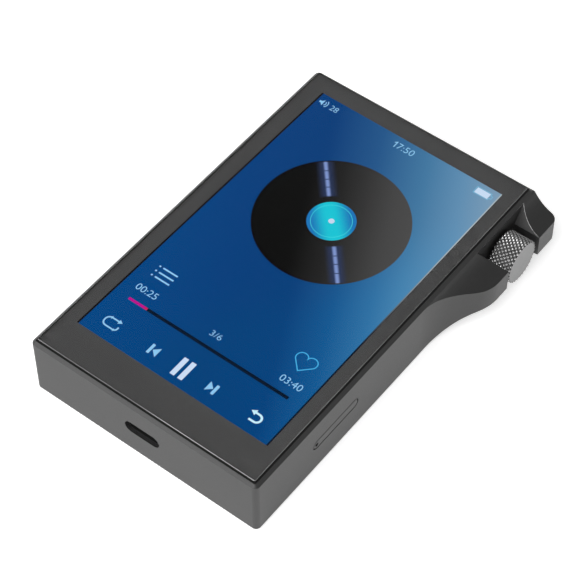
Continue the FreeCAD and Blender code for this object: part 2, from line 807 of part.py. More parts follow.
def board_notches():
    """Cut-outs of the main board: middle place, width and length of each."""
    notch = "corner_notch"
    for side in ("", "-"):
        for end in ("", "-"):
            yield ("%s(board_width - %s) / 2" % (side, notch), "%s(board_length - %s) / 2" % (end, notch),
                   notch, notch)
    yield "battery_notch_across", "battery_along", "battery_notch_width", "battery_length + 2 * notch_gap"
    yield ("jack_across", "(board_length - jack_notch_length) / 2", "jack_width + notch_gap",
           "jack_notch_length")
    yield ("(board_width - encoder_notch_depth) / 2", "knob_along", "encoder_notch_depth",
           "encoder_width + 2 * notch_gap")


def main_board():
    body = new_body("main_board")
    plan = rectangle(new_sketch(body, "XY_Plane"), "0", "0", "board_width", "board_length")
    pad(body, plan, "board_thickness")
    for across, along, width, length in board_notches():
        cut(body, rectangle(new_sketch(body, "XY_Plane"), across, along, width, length),
            "board_thickness")
    holes = new_sketch(body, "XY_Plane")
    for across, along in BOARD_SCREWS:
        circle(holes, str(across), str(along), "screw_radius + screw_clearance")
    cut(body, holes, "board_thickness")
    place(body, up=BOARD_FLOOR)


def board_components():
    for name in BOARD_BLOCKS:
        keep(block(name, *[name + suffix for suffix in ("_width", "_length", "_height", "_across", "_along")],
                   BOARD_TOP), name)
    for name, (size, places) in BOARD_PAIRS.items():
        sizes = [str(length) for length in size]
        group(name, [block("%s_%d" % (name, index), *sizes, str(across), str(along), BOARD_TOP)
                     for index, (across, along) in enumerate(places)])
    group("audio_capacitors", [
        rod("audio_capacitors_%d" % index, str(CAPACITOR_RADIUS), str(CAPACITOR_HEIGHT),
            str(across), str(along), BOARD_TOP)
        for index, (across, along) in enumerate(CAPACITOR_PLACES)])

    width, length, height, across, along = [str(size) for size in SHIELD_CAN]
    shell = block("shield_shell", width, length, height, across, along, BOARD_TOP)
    inside = block("shield_inside", "%s - %s" % (width, 2 * SHIELD_SHEET),
                   "%s - %s" % (length, 2 * SHIELD_SHEET), "%s - %s" % (height, SHIELD_SHEET),
                   across, along, BOARD_TOP)
    keep(take_away("processor_shield", shell, inside), "processor_shield")


def battery():
    body = new_body("battery_cell")
    plan = rectangle(new_sketch(body, "XY_Plane"), "0", "0", "battery_width", "battery_length",
                     "battery_edge")
    pad(body, plan, "battery_height")
    place(body, "battery_across", "battery_along", "web_floor - tape_thickness - battery_height")
    keep(block("battery_tape", "battery_width - 2 * tape_margin", "battery_length - 2 * tape_margin",
               "tape_thickness", "battery_across", "battery_along", "web_floor - tape_thickness"),
         "battery_tape")
    keep(block("battery_protection_board", "battery_board_width", "battery_board_sheet",
               "battery_board_height", "battery_across",
               "battery_along - (battery_length + battery_board_sheet) / 2", "battery_board_floor"),
         "battery_protection_board")


# ---------------------------------------------------------------- ports

def usb_port():
    """The receptacle's steel shell, closed behind, and the contact tongue inside it."""
    body = new_body("usb_shell")
    profile = stadium(new_sketch(body, "XZ_Plane"), "0", "0", "usb_width", "usb_height")
    pad(body, profile, "usb_depth", against_normal=True)
    inside = new_sketch(body, "XZ_Plane")
    stadium(inside, "0", "0", "usb_width - 2 * usb_sheet", "usb_height - 2 * usb_sheet")
    cut(body, inside, "usb_depth - usb_sheet", against_normal=True)
    mouth = "-%s + usb_inset" % HALF_LENGTH
    place(body, "0", mouth, PORT_LEVEL)
    keep(block("usb_tongue", "tongue_width", "tongue_length", "tongue_height", "0",
               mouth + " + usb_depth - usb_sheet - tongue_length / 2", PORT_LEVEL + " - tongue_height / 2"),
         "usb_tongue")


def headphone_jack():
    """The jack's moulded body, the contact springs under it and the metal ring in the end wall."""
    wall_inside = HALF_LENGTH + " - wall"
    body = new_body("jack_body")
    profile = rectangle(new_sketch(body, "XZ_Plane"), "0", "0", "jack_width", "jack_height")
    pad(body, profile, "jack_length")
    bore = circle(new_sketch(body, "XZ_Plane"), "0", "0", "jack_bore")
    cut(body, bore, "jack_length - jack_back")
    place(body, "jack_across", wall_inside, MID)

    ring = new_body("jack_ring")
    pad(ring, circle(new_sketch(ring, "XZ_Plane"), "0", "0", "jack_ring_radius"), "wall - jack_ring_inset")
    cut(ring, circle(new_sketch(ring, "XZ_Plane"), "0", "0", "jack_bore"), "wall")
    place(ring, "jack_across", HALF_LENGTH + " - jack_ring_inset", MID)

    contacts = []
    for index, side in enumerate(("-", "+")):
        across = "jack_across %s (jack_width + jack_contact_sheet) / 2" % side
        contacts.append(block("jack_contacts_%d" % index, "jack_contact_sheet", "jack_contact_length",
                              "jack_contact_width", across, wall_inside + " - jack_length / 2", MID))
    group("jack_contacts", contacts)


# ---------------------------------------------------------------- volume wheel and encoder

ENCODER_FRONT = INNER_WALL + " - bushing_flange - encoder_gap"
ENCODER_FLOOR = MID + " - encoder_height / 2"
ENCODER_BACK = ENCODER_FRONT + " - encoder_depth"
PLATE_BACK = ENCODER_BACK + " + plate_place"
KNOB_BACK = "body_width / 2 + knob_gap"


def encoder():
    """The encoder's case, the press dome in it, the bracket behind it and the bushing in the wall."""
    body = new_body("encoder_case")
    profile = rectangle(new_sketch(body, "YZ_Plane"), "0", "0", "encoder_width", "encoder_height")
    pad(body, profile, "encoder_depth")
    chamber = circle(new_sketch(body, "YZ_Plane", "encoder_floor"), "0", "0", "encoder_chamber_radius")
    cut(body, chamber, "encoder_chamber_depth")
    bore = circle(new_sketch(body, "YZ_Plane", "encoder_floor"), "0", "0", "encoder_bore_radius")
    cut(body, bore, "encoder_depth")
    place(body, ENCODER_BACK, "knob_along", MID)

    dome = rod("press_dome", "dome_radius", "dome_height", ENCODER_BACK + " + encoder_floor",
               "knob_along", MID, ALONG_X)
    keep(dome, "press_dome")

    upright = block("bracket_upright", "bracket_sheet", "encoder_width",
                    "web_floor - (%s)" % ENCODER_FLOOR, ENCODER_BACK + " - bracket_sheet / 2",
                    "knob_along", ENCODER_FLOOR)
    foot = block("bracket_foot_plate", "bracket_foot", "encoder_width", "bracket_sheet",
                 ENCODER_BACK + " - bracket_sheet - bracket_foot / 2", "knob_along",
                 "web_floor - bracket_sheet")
    keep(join("encoder_bracket", [upright, foot]), "encoder_bracket")

    bushing = new_body("encoder_bushing")
    pad(bushing, circle(new_sketch(bushing, "YZ_Plane"), "0", "0", "bushing_flange_radius"),
        "bushing_flange", against_normal=True)
    pad(bushing, circle(new_sketch(bushing, "YZ_Plane"), "0", "0", "bushing_radius"), "wall")
    shaft_way = new_sketch(bushing, "YZ_Plane", "-bushing_flange")
    cut(bushing, circle(shaft_way, "0", "0", "shaft_radius + shaft_fit"), "wall + bushing_flange")
    place(bushing, INNER_WALL, "knob_along", MID)


def wheel():
    """The press plate that slides with the shaft, the shaft, the wheel and its set screw."""
    plate = new_body("press_plate")
    pad(plate, circle(new_sketch(plate, "YZ_Plane"), "0", "0", "plate_radius"), "plate_thickness")
    cut(plate, circle(new_sketch(plate, "YZ_Plane"), "0", "0", "shaft_radius + shaft_fit"),
        "plate_thickness")
    place(plate, PLATE_BACK, "knob_along", MID)

    shaft = new_body("encoder_shaft")
    pad(shaft, circle(new_sketch(shaft, "YZ_Plane"), "0", "0", "shaft_radius"), "shaft_length")
    dress(shaft, "Chamfer", "shaft_chamfer", is_across_axis)
    place(shaft, PLATE_BACK, "knob_along", MID)

    knob = new_body("volume_knob")
    pad(knob, circle(new_sketch(knob, "YZ_Plane"), "0", "0", "knob_radius"), "knob_width")
    dress(knob, "Chamfer", "knob_chamfer", is_across_axis)
    cut(knob, circle(new_sketch(knob, "YZ_Plane"), "0", "0", "shaft_radius + knob_fit"),
        "knob_bore_depth")
    screw_way = circle(new_sketch(knob, "XY_Plane"), "set_screw_place", "0",
                       "set_screw_radius + set_screw_slack")
    cut(knob, screw_way, "knob_radius", against_normal=True)
    place(knob, KNOB_BACK, "knob_along", MID)

    grub = new_body("knob_set_screw")
    start = "-shaft_radius - set_screw_length - set_screw_gap"
    pad(grub, circle(new_sketch(grub, "XY_Plane", start), "0", "0", "set_screw_radius"),
        "set_screw_length")
    socket = rectangle(new_sketch(grub, "XY_Plane", start), "0", "0", "set_screw_socket",
                       "set_screw_socket")
    cut(grub, socket, "set_screw_socket_depth")
    place(grub, KNOB_BACK + " + set_screw_place", "knob_along", MID)


# ---------------------------------------------------------------- card tray

def card_tray():
    """The tray's outer face with its pinhole, and the carrier that the card lies in."""
    body = new_body("card_tray")
    face = new_sketch(body, "YZ_Plane")
    stadium(face, "0", "0", "tray_slot_length - 2 * tray_gap", "tray_slot_height - 2 * tray_gap")
    pad(body, face, "tray_face", against_normal=True)
    dress(body, "Chamfer", "tray_edge", at_outer_face)
    carrier = new_sketch(body, "XY_Plane", "-carrier_height / 2")
    rectangle(carrier, "-tray_face - carrier_length / 2", "carrier_shift", "carrier_length",
              "carrier_width")
    pad(body, carrier, "carrier_height")
    nest = new_sketch(body, "XY_Plane", "carrier_height / 2 - card_sink")
    rectangle(nest, "-tray_face - card_length / 2", "carrier_shift", "card_length", "card_width")
    cut(body, nest, "card_sink")
    pinhole = new_sketch(body, "YZ_Plane")
    cut(body, circle(pinhole, "pinhole_shift", "0", "pinhole_radius"), "tray_face", against_normal=True)
    place(body, HALF_WIDTH, "tray_along", PORT_LEVEL)


def card_socket():
    """The socket's moulded floor with rails and lever pin, and the steel cover over it."""
    depth_middle = "body_width / 2 - socket_inset - socket_depth / 2"
    body = new_body("card_socket")
    plan = rectangle(new_sketch(body, "XY_Plane"), "0", "0", "socket_depth", "socket_width")
    pad(body, plan, "socket_floor")
    rails = new_sketch(body, "XY_Plane")
    for side in ("", "-"):
        rectangle(rails, "0", "%s(socket_width - socket_rail) / 2" % side, "socket_depth", "socket_rail")
    rectangle(rails, "(socket_depth - socket_rib_length) / 2", "socket_rib_along", "socket_rib_length",
              "socket_rib")
    pad(body, rails, "socket_height")
    pivot = new_sketch(body, "XY_Plane")
    circle(pivot, "pivot_across - (%s)" % depth_middle, "pivot_shift", "pivot_radius")
    pad(body, pivot, "socket_height")
    place(body, depth_middle, "tray_along", BOARD_TOP)

    shell = block("cover_shell", "socket_depth + socket_sheet", "socket_width + 2 * socket_sheet",
                  "socket_height + socket_sheet", depth_middle + " - socket_sheet / 2", "tray_along",
                  BOARD_TOP)
    inside = block("cover_inside", "socket_depth", "socket_width", "socket_height", depth_middle,
                   "tray_along", BOARD_TOP)
    keep(take_away("card_socket_cover", shell, inside), "card_socket_cover")


def ejector():
    """The rod behind the tray's pinhole, and the lever that it turns."""
    pin_rod = rod("eject_rod", "rod_radius", "rod_length", "body_width / 2 - rod_inset - rod_length",
                  "tray_along + pinhole_shift", PORT_LEVEL, ALONG_X)
    keep(pin_rod, "eject_rod")

    lever = new_body("eject_lever")
    arms = new_sketch(lever, "XY_Plane", "-lever_height / 2")
    outline(arms, [
        ("lever_push_face - lever_width", "-lever_push_arm"), ("lever_push_face", "-lever_push_arm"),
        ("lever_push_face", "0"), ("lever_lift_face", "lever_hub_radius"),
        ("lever_lift_face", "lever_lift_arm"), ("lever_lift_face - lever_width", "lever_lift_arm"),
        ("lever_lift_face - lever_width", "0"), ("lever_push_face - lever_width", "-lever_hub_radius")])
    pad(lever, arms, "lever_height")
    hub = circle(new_sketch(lever, "XY_Plane", "-lever_height / 2"), "0", "0", "lever_hub_radius")
    pad(lever, hub, "lever_height")
    hole = circle(new_sketch(lever, "XY_Plane", "-lever_height / 2"), "0", "0", "pivot_radius + pivot_fit")
    cut(lever, hole, "lever_height")
    place(lever, "pivot_across", "tray_along + pivot_shift", PORT_LEVEL)


# ---------------------------------------------------------------- transport keys

KEY_NAMES = ("next_key", "play_pause_key", "previous_key")


def transport_keys():
    """Three keys in the side wall: a rounded cap outside, a flange and a post inside."""
    for step, label in zip((-1, 0, 1), KEY_NAMES):
        body = new_body(label)
        cap = stadium(new_sketch(body, "YZ_Plane"), "0", "0", "key_length", "key_height")
        pad(body, cap, "key_proud + wall + key_flange_gap")
        dress(body, "Chamfer", "key_edge", at_outer_face)
        flange_start = "key_proud + wall + key_flange_gap"
        flange = new_sketch(body, "YZ_Plane", flange_start)
        stadium(flange, "0", "0", "key_length + 2 * key_flange_rim", "key_height + 2 * key_flange_rim")
        pad(body, flange, "key_flange")
        post = new_sketch(body, "YZ_Plane", flange_start + " + key_flange")
        pad(body, circle(post, "0", "0", "key_post_radius"), "key_post")
        place(body, "-%s - key_proud" % HALF_WIDTH, "key_middle + %d * key_spacing" % step, MID)


def key_switches():
    """The three switches, the strip of board that carries them and the plate behind it."""
    switches = []
    for step in (-1, 0, 1):
        switches.append(block("key_switches_%d" % (step + 1), "switch_depth", "switch_length",
                              "switch_height", "key_board_across - key_board_sheet - switch_depth / 2",
                              "key_middle + %d * key_spacing" % step, MID + " - switch_height / 2"))
    group("key_switches", switches)
    keep(block("key_board", "key_board_sheet", "key_board_length", "key_board_height",
               "key_board_across - key_board_sheet / 2", "key_middle", "key_board_floor"), "key_board")
    keep(block("key_bracket", "key_bracket_sheet", "key_board_length", "key_bracket_height",
               "key_board_across + key_bracket_sheet / 2", "key_middle",
               "web_floor - key_bracket_height"), "key_bracket")


# ---------------------------------------------------------------- build, check and write

def build():
    for make in (main_housing, rear_cover, fasteners, cover_glass, glass_gasket, display_module,
                 ribbon_cables, main_board, board_components, battery, usb_port, headphone_jack,
                 encoder, wheel, card_tray, card_socket, ejector, transport_keys, key_switches):
        make()
    doc.recompute()


def check():
    for thing in doc.Objects:
        if "Invalid" in thing.State or "Error" in thing.State:
            raise RuntimeError("%s failed: %s" % (thing.Name, thing.State))
    for part in PARTS:
        if part.Shape.isNull() or not part.Shape.isValid() or not part.Shape.Solids:
            raise RuntimeError(part.Label + " has no sound shape")


def write():
    os.makedirs("parts", exist_ok=True)
    for part in PARTS:
        part.Shape.exportStep("parts/%s.step" % part.Label)
        size = part.Shape.BoundBox
        print("%-26s solids %2d  volume %9.1f  x %7.2f %7.2f  y %7.2f %7.2f  z %6.2f %6.2f" % (
            part.Label, len(part.Shape.Solids), part.Shape.Volume, size.XMin, size.XMax,
            size.YMin, size.YMax, size.ZMin, size.ZMax))


build()
check()
write()
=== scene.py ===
"""The looks of a digital audio player: its housing, its glass over a lit screen, and its knurled wheel."""
import math

import bmesh
import bpy
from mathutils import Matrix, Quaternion, Vector
from mathutils.bvhtree import BVHTree


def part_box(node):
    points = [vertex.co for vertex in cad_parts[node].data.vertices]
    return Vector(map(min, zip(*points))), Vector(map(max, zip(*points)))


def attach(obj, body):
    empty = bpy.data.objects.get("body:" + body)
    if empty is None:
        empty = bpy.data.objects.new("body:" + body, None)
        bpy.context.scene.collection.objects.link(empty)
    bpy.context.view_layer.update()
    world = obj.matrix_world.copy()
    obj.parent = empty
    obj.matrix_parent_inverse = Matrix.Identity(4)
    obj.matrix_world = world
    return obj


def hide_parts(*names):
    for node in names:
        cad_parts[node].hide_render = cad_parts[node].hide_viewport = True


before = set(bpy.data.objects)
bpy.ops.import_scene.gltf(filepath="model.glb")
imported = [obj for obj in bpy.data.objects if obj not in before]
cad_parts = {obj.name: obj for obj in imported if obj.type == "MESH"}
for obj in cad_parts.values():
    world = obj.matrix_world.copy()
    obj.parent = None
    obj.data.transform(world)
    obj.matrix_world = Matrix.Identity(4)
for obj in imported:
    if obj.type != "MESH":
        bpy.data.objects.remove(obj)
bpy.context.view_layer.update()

MM = 0.001
HOUSING = "housing"

# In degrees: edges sharper than the first are rounded off, and those flatter than the second look smooth.
SHARP_EDGE, SMOOTH_BELOW = 28.0, 24.0
# In degrees too: faces that meet at less than this are one flat face.
FLAT_BELOW = 0.5
# How far the larger faces decide the shading of the rounded edges between them.
FLAT_FACE_WEIGHT = 80

# In metres: points nearer than this are one point, and heights nearer than HAIR are the same.
WELD_NEAR, CAD_WELD_NEAR, HAIR = 1e-8, 1e-7, 1e-6
OFF_FACE = 0.01 * MM


# ---------------------------------------------------------------- colours and shader nodes

def display_colour(red, green, blue):
    """A display colour from 0 to 255, as the linear colour that shaders work in."""
    def linear(value):
        value /= 255
        return value / 12.92 if value <= 0.04045 else ((value + 0.055) / 1.055) ** 2.4
    return (linear(red), linear(green), linear(blue), 1.0)


def grey(value):
    return (value, value, value, 1.0)


def fill(tree, socket, value):
    """Give a node's input a plain value, or link another node's output to it."""
    if hasattr(value, "is_linked"):
        tree.links.new(value, socket)
    else:
        socket.default_value = value


def mix_colours(tree, factor, first, second, blend="MIX"):
    node = tree.nodes.new("ShaderNodeMix")
    node.data_type = "RGBA"
    node.blend_type = blend
    for index, value in ((0, factor), (6, first), (7, second)):
        fill(tree, node.inputs[index], value)
    return node.outputs[2]


def map_range(tree, source, low, high, out_low=0.0, out_high=1.0, smooth=False):
    """Map a value from one range to another, clamped."""
    node = tree.nodes.new("ShaderNodeMapRange")
    node.interpolation_type = "SMOOTHSTEP" if smooth else "LINEAR"
    tree.links.new(source, node.inputs["Value"])
    ends = {"From Min": low, "From Max": high, "To Min": out_low, "To Max": out_high}
    for socket, value in ends.items():
        node.inputs[socket].default_value = value
    return node.outputs[0]


class Shader:
    """A material with one Principled BSDF, and short ways to add the nodes that feed it."""

    def __init__(self, name, colour, roughness, **sockets):
        self.material = bpy.data.materials.new(name)
        self.material.use_nodes = True
        self.tree = self.material.node_tree
        self.bsdf = self.tree.nodes["Principled BSDF"]
        self.position = self.add("ShaderNodeTexCoord").outputs["Object"]
        self.set("Base Color", colour)
        self.set("Roughness", roughness)
        for socket, value in sockets.items():
            self.set(socket.replace("_", " "), value)

    def add(self, kind, **settings):
        node = self.tree.nodes.new(kind)
        for name, value in settings.items():
            setattr(node, name, value)
        return node

    def link(self, source, target):
        self.tree.links.new(source, target)

    def set(self, socket, value):
        self.bsdf.inputs[socket].default_value = value

    def feed(self, socket, source):
        self.link(source, self.bsdf.inputs[socket])

    def noise(self, scale_per_mm, detail=2.0):
        node = self.add("ShaderNodeTexNoise")
        node.inputs["Scale"].default_value = scale_per_mm / MM
        node.inputs["Detail"].default_value = detail
        self.link(self.position, node.inputs["Vector"])
        return node.outputs["Fac"]

    def math(self, operation, first, second=0.0):
        node = self.add("ShaderNodeMath", operation=operation)
        for socket, value in zip(node.inputs, (first, second)):
            fill(self.tree, socket, value)
        return node.outputs[0]

    def spread(self, source, *ends, smooth=False):
        return map_range(self.tree, source, *ends, smooth=smooth)

    def mix(self, factor, first, second, blend="MIX"):
        return mix_colours(self.tree, factor, first, second, blend)

    def ramp(self, source, stops):
        """A colour ramp; stops are pairs of place and colour."""
        node = self.add("ShaderNodeValToRGB")
        elements = node.color_ramp.elements
        while len(elements) < len(stops):
            elements.new(0.5)
        for element, (place, colour) in zip(elements, stops):
            element.position = place
            element.color = colour
        self.link(source, node.inputs["Fac"])
        return node.outputs["Color"]

    def vector_with(self, operation, vector, value):
        """The node that combines a vector with a constant one."""
        node = self.add("ShaderNodeVectorMath", operation=operation)
        node.inputs[1].default_value = value
        self.link(vector, node.inputs[0])
        return node

    def along(self, origin, direction):
        """Distance from a point along a direction, in millimetres if the direction's length is 1."""
        offset = self.vector_with("SUBTRACT", self.position, origin).outputs[0]
        return self.vector_with("DOT_PRODUCT", offset, Vector(direction) / MM).outputs["Value"]

    def from_wheel_axis(self):
        """Distance from the volume wheel's axis, in metres."""
        offset = self.vector_with("SUBTRACT", self.position, WHEEL_CENTRE).outputs[0]
        crossed = self.vector_with("CROSS_PRODUCT", offset, WHEEL_DIRECTION).outputs[0]
        radius = self.add("ShaderNodeVectorMath", operation="LENGTH")
        self.link(crossed, radius.inputs[0])
        return radius.outputs["Value"]

    def bump(self, height, depth_mm):
        node = self.add("ShaderNodeBump")
        node.inputs["Distance"].default_value = depth_mm * MM
        node.inputs["Strength"].default_value = 1.0
        self.link(height, node.inputs["Height"])
        self.feed("Normal", node.outputs["Normal"])


def metal(name, value, roughness, grain=8.0, tint=(1, 1, 1)):
    """Metal with a fine all-over grain and faint cloudiness in its colour and roughness."""
    shader = Shader(name, grey(value), roughness, Metallic=1.0)
    cloud = shader.noise(0.12, detail=3.0)
    darker, lighter = ([value * part * share for part in tint] + [1.0] for share in (0.94, 1.06))
    shader.feed("Base Color", shader.mix(cloud, darker, lighter))
    fine = shader.noise(grain)
    shader.feed("Roughness", shader.spread(fine, 0.3, 0.7, roughness - 0.05, roughness + 0.05))
    shader.bump(fine, 0.01)
    return shader.material


def plastic(name, colour, roughness):
    """Moulded plastic, epoxy or film with a fine texture."""
    shader = Shader(name, (*colour, 1.0), roughness)
    cloud = shader.noise(0.3, detail=3.0)
    shader.feed("Base Color", shader.mix(cloud, [part * 0.88 for part in colour] + [1.0],
                                         [min(part * 1.1, 1.0) for part in colour] + [1.0]))
    fine = shader.noise(10.0)
    shader.feed("Roughness", shader.spread(fine, 0.3, 0.7, roughness - 0.06, roughness + 0.06))
    shader.bump(fine, 0.006)
    return shader.material


# ---------------------------------------------------------------- mesh helpers

def finish_piece(piece, body, replaced=()):
    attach(piece, body)
    if replaced:
        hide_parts(*replaced)
    return piece


def object_from(mesh_data, name, materials):
    piece = bpy.data.objects.new(name, mesh_data)
    bpy.context.scene.collection.objects.link(piece)
    mesh_data.materials.clear()
    for material in materials:
        mesh_data.materials.append(material)
    return piece


def smooth(mesh, degrees):
    """Smooth shading, with edges sharper than the angle kept crisp."""
    work = bmesh.new()
    work.from_mesh(mesh)
    limit = math.radians(degrees)
    for face in work.faces:
        face.smooth = True
    for edge in work.edges:
        edge.smooth = len(edge.link_faces) == 2 and edge.calc_face_angle(0.0) < limit
    work.to_mesh(mesh)
    work.free()


def mesh_from(name, points, faces):
    mesh = bpy.data.meshes.new(name)
    mesh.from_pydata(points, [], faces)
    work = bmesh.new()
    work.from_mesh(mesh)
    bmesh.ops.recalc_face_normals(work, faces=work.faces)
    work.to_mesh(mesh)
    work.free()
    mesh.validate()
    return mesh


def skin(name, loops, closed_ends=True):
    """A surface through equal loops of points, each joined to the next."""
    count = len(loops[0])
    points = [point for loop in loops for point in loop]
    faces = []
    for level in range(len(loops) - 1):
        low, high = level * count, (level + 1) * count
        for index in range(count):
            following = (index + 1) % count
            faces.append((low + index, low + following, high + following, high + index))
    if closed_ends:
        faces.append(tuple(reversed(range(count))))
        faces.append(tuple(range(len(points) - count, len(points))))
    return mesh_from(name, points, faces)


def weld(mesh):
    """Join the points that lie on one another, and turn every face outwards."""
    work = bmesh.new()
    work.from_mesh(mesh)
    bmesh.ops.remove_doubles(work, verts=work.verts, dist=WELD_NEAR)
    bmesh.ops.recalc_face_normals(work, faces=work.faces)
    work.to_mesh(mesh)
    work.free()


def joined(name, meshes):
    """One mesh made of several."""
    work = bmesh.new()
    for mesh in meshes:
        work.from_mesh(mesh)
    whole = bpy.data.meshes.new(name)
    work.to_mesh(whole)
    work.free()
    return whole


def rounded_rectangle(width, length, radius, steps=6, middle=(0.0, 0.0)):
    """An outline in the plan plane, counter-clockwise, as pairs in metres."""
    outline = []
    for turn, (side, end) in enumerate(((1, 1), (-1, 1), (-1, -1), (1, -1))):
        across = middle[0] + side * (width / 2 - radius)
        along = middle[1] + end * (length / 2 - radius)
        for step in range(steps + 1):
            angle = math.radians(90 * (turn + step / steps))
            outline.append((across + radius * math.cos(angle), along + radius * math.sin(angle)))
    return outline


def circle(radius, middle=(0.0, 0.0), steps=96):
    return [(middle[0] + radius * math.cos(math.tau * step / steps),
             middle[1] + radius * math.sin(math.tau * step / steps)) for step in range(steps)]


def plate(name, outline, low, high, material):
    """A flat plate with the given outline, between two heights."""
    loops = [[(x, y, level) for x, y in outline] for level in (low, high)]
    return object_from(skin(name, loops), name, [material])


def ring_plate(name, outer, inner, low, high, material):
    """A flat ring between two outlines with as many points each."""
    loops = [[(x, y, level) for x, y in outline]
             for outline, level in ((outer, low), (outer, high), (inner, high), (inner, low), (outer, low))]
    mesh = skin(name, loops, closed_ends=False)
    weld(mesh)
    return object_from(mesh, name, [material])


def in_open_air(face, tree):
    """Whether nothing of the same piece stands in front of a face."""
    start = face.calc_center_median() + face.normal * OFF_FACE
    return tree.ray_cast(start, face.normal)[0] is None


def bevelled_copy(node, name, materials, width, is_outer, is_always, edge_slot):
    """The CAD node's shape as one welded mesh, with its sharp outer edges rounded off."""
    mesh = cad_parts[node].data.copy()
    work = bmesh.new()
    work.from_mesh(mesh)
    bmesh.ops.remove_doubles(work, verts=work.verts, dist=CAD_WELD_NEAR)
    bmesh.ops.dissolve_limit(work, angle_limit=math.radians(FLAT_BELOW), verts=work.verts, edges=work.edges)
    tree = BVHTree.FromBMesh(work)
    open_faces = {face.index for face in work.faces if in_open_air(face, tree)}
    weight = work.edges.layers.float.new("bevel_weight_edge")
    limit = math.radians(SHARP_EDGE)
    for edge in work.edges:
        if len(edge.link_faces) != 2 or edge.calc_face_angle(0.0) < limit or not edge.is_convex:
            continue
        exposed = all(face.index in open_faces for face in edge.link_faces)
        if is_always(edge) or (exposed and is_outer(edge)):
            edge[weight] = 1.0
    for face in work.faces:
        face.material_index = 0
    work.to_mesh(mesh)
    work.free()
    piece = object_from(mesh, name, materials)
    bevel = piece.modifiers.new("edges", "BEVEL")
    bevel.width = width
    bevel.segments = 2
    bevel.material = edge_slot
    bevel.limit_method = "WEIGHT"
    bevel.use_clamp_overlap = False
    bevel.harden_normals = False
    baked = bpy.data.meshes.new_from_object(piece.evaluated_get(bpy.context.evaluated_depsgraph_get()))
    piece.modifiers.clear()
    piece.data = baked
    smooth(baked, SMOOTH_BELOW)
    weighted = piece.modifiers.new("shading", "WEIGHTED_NORMAL")
    weighted.keep_sharp = True
    weighted.weight = FLAT_FACE_WEIGHT
    return piece


# ---------------------------------------------------------------- finishes, one short function each

def anodised(name, value, roughness=0.46):
    """Bead-blasted aluminium under grey anodising, with fine pits and faint cloudiness."""
    shader = Shader(name, grey(value), roughness, Metallic=0.86, Specular_IOR_Level=0.4)
    cloud = shader.noise(0.06, detail=4.0)
    shader.feed("Base Color", shader.mix(cloud, grey(value * 0.93), grey(value * 1.07)))
    pits = shader.noise(9.0, detail=3.0)
    shader.feed("Roughness", shader.spread(pits, 0.3, 0.7, roughness - 0.06, roughness + 0.06))
    shader.bump(pits, 0.012)
    return shader.material


def edge_wear_and_highlight(value):
    """The housing's rounded edges, a little lighter than the anodising, as edge wear and as a painted
    highlight; along the crease above the wheel, a patchy painted highlight in a bare-metal grey.
    """
    shader = Shader("anodised_edge_wear_and_highlight", grey(value), 0.42, Metallic=0.9)
    past_wheel = shader.spread(shader.along(WHEEL_CENTRE, (0.0, 1.0, 0.0)), CREASE_NEAR - CREASE_HIGHLIGHT_FADE,
                               CREASE_NEAR + CREASE_HIGHLIGHT_FADE)
    before_end = shader.spread(shader.along(WHEEL_CENTRE, (0.0, 1.0, 0.0)), CREASE_FAR - CREASE_HIGHLIGHT_FADE,
                               CREASE_FAR + CREASE_HIGHLIGHT_FADE, 1.0, 0.0)
    above_band = shader.spread(shader.along(WHEEL_CENTRE, (0.0, 0.0, 1.0)), CREASE_RISE,
                               CREASE_RISE + CREASE_HIGHLIGHT_FADE)
    # A patchy painted highlight along the crease above the wheel, in a bare-metal grey.
    crease_highlight = shader.math("MULTIPLY", shader.math("MULTIPLY", past_wheel, before_end), above_band)
    patchy_crease_highlight = shader.math("MULTIPLY", crease_highlight, shader.spread(shader.noise(0.9), 0.35, 0.6, 0.45, 1.0))
    shader.feed("Base Color", shader.mix(patchy_crease_highlight, grey(value), CREASE_HIGHLIGHT_GREY))
    return shader.material


def knurled_finish(value, roughness):
    """Steel with painted shade in its grooves, darkest at their bottoms and set by the distance from the
    wheel's axis, and the steel's own grey on its tips.
    """
    shader = Shader("knurled_steel", grey(value), roughness, Metallic=1.0)
    radius = shader.from_wheel_axis()
    # Painted shade: darkest at the bottom of each groove, none on the tips.
    outside_groove_shade = shader.spread(radius, WHEEL_RADIUS - KNURL_DEPTH, WHEEL_RADIUS - UNSHADED_TIP_SHARE * KNURL_DEPTH,
                           smooth=True)
    shader.feed("Base Color", shader.mix(outside_groove_shade, grey(0.05), grey(value)))
    shader.feed("Roughness", shader.spread(outside_groove_shade, 0.0, 1.0, 0.5, roughness))
    return shader.material


def turned(name, value, roughness):
    """Metal turned on a lathe: fine rings round the wheel's axis, seen on its flat end."""
    shader = Shader(name, grey(value), roughness, Metallic=1.0)
    radius = shader.from_wheel_axis()
    rings = shader.math("SINE", shader.math("MULTIPLY", radius, math.tau / TURNING_PITCH))
    cloud = shader.noise(0.5, detail=3.0)
    shader.feed("Base Color", shader.mix(cloud, grey(value * 0.94), grey(value * 1.06)))
    shader.feed("Roughness", shader.spread(rings, -1.0, 1.0, roughness - 0.04, roughness + 0.04))
    shader.bump(rings, 0.0015)
    return shader.material


def clear_glass():
    """Hardened glass with an anti-glare coating and a trace of smears in its gloss."""
    shader = Shader("cover_glass_clear", grey(1.0), 0.02, Transmission_Weight=1.0, IOR=1.5,
                    Specular_IOR_Level=0.1, Specular_Tint=grey(0.08))
    smears = shader.noise(0.05, detail=3.0)
    shader.feed("Roughness", shader.spread(smears, 0.35, 0.75, 0.0, 0.006))
    return shader.material


def ground_edge():
    """The glass's polished bevel, which catches the light as a thin pale line: partly its own reflection and
    partly a painted highlight in an opaque pale grey.
    """
    shader = Shader("cover_glass_edge", grey(0.35), 0.25, Metallic=0.6)
    run = shader.noise(0.03, detail=1.0)
    shader.feed("Base Color", shader.mix(shader.spread(run, 0.4, 0.6), grey(0.2), grey(0.5)))
    return shader.material


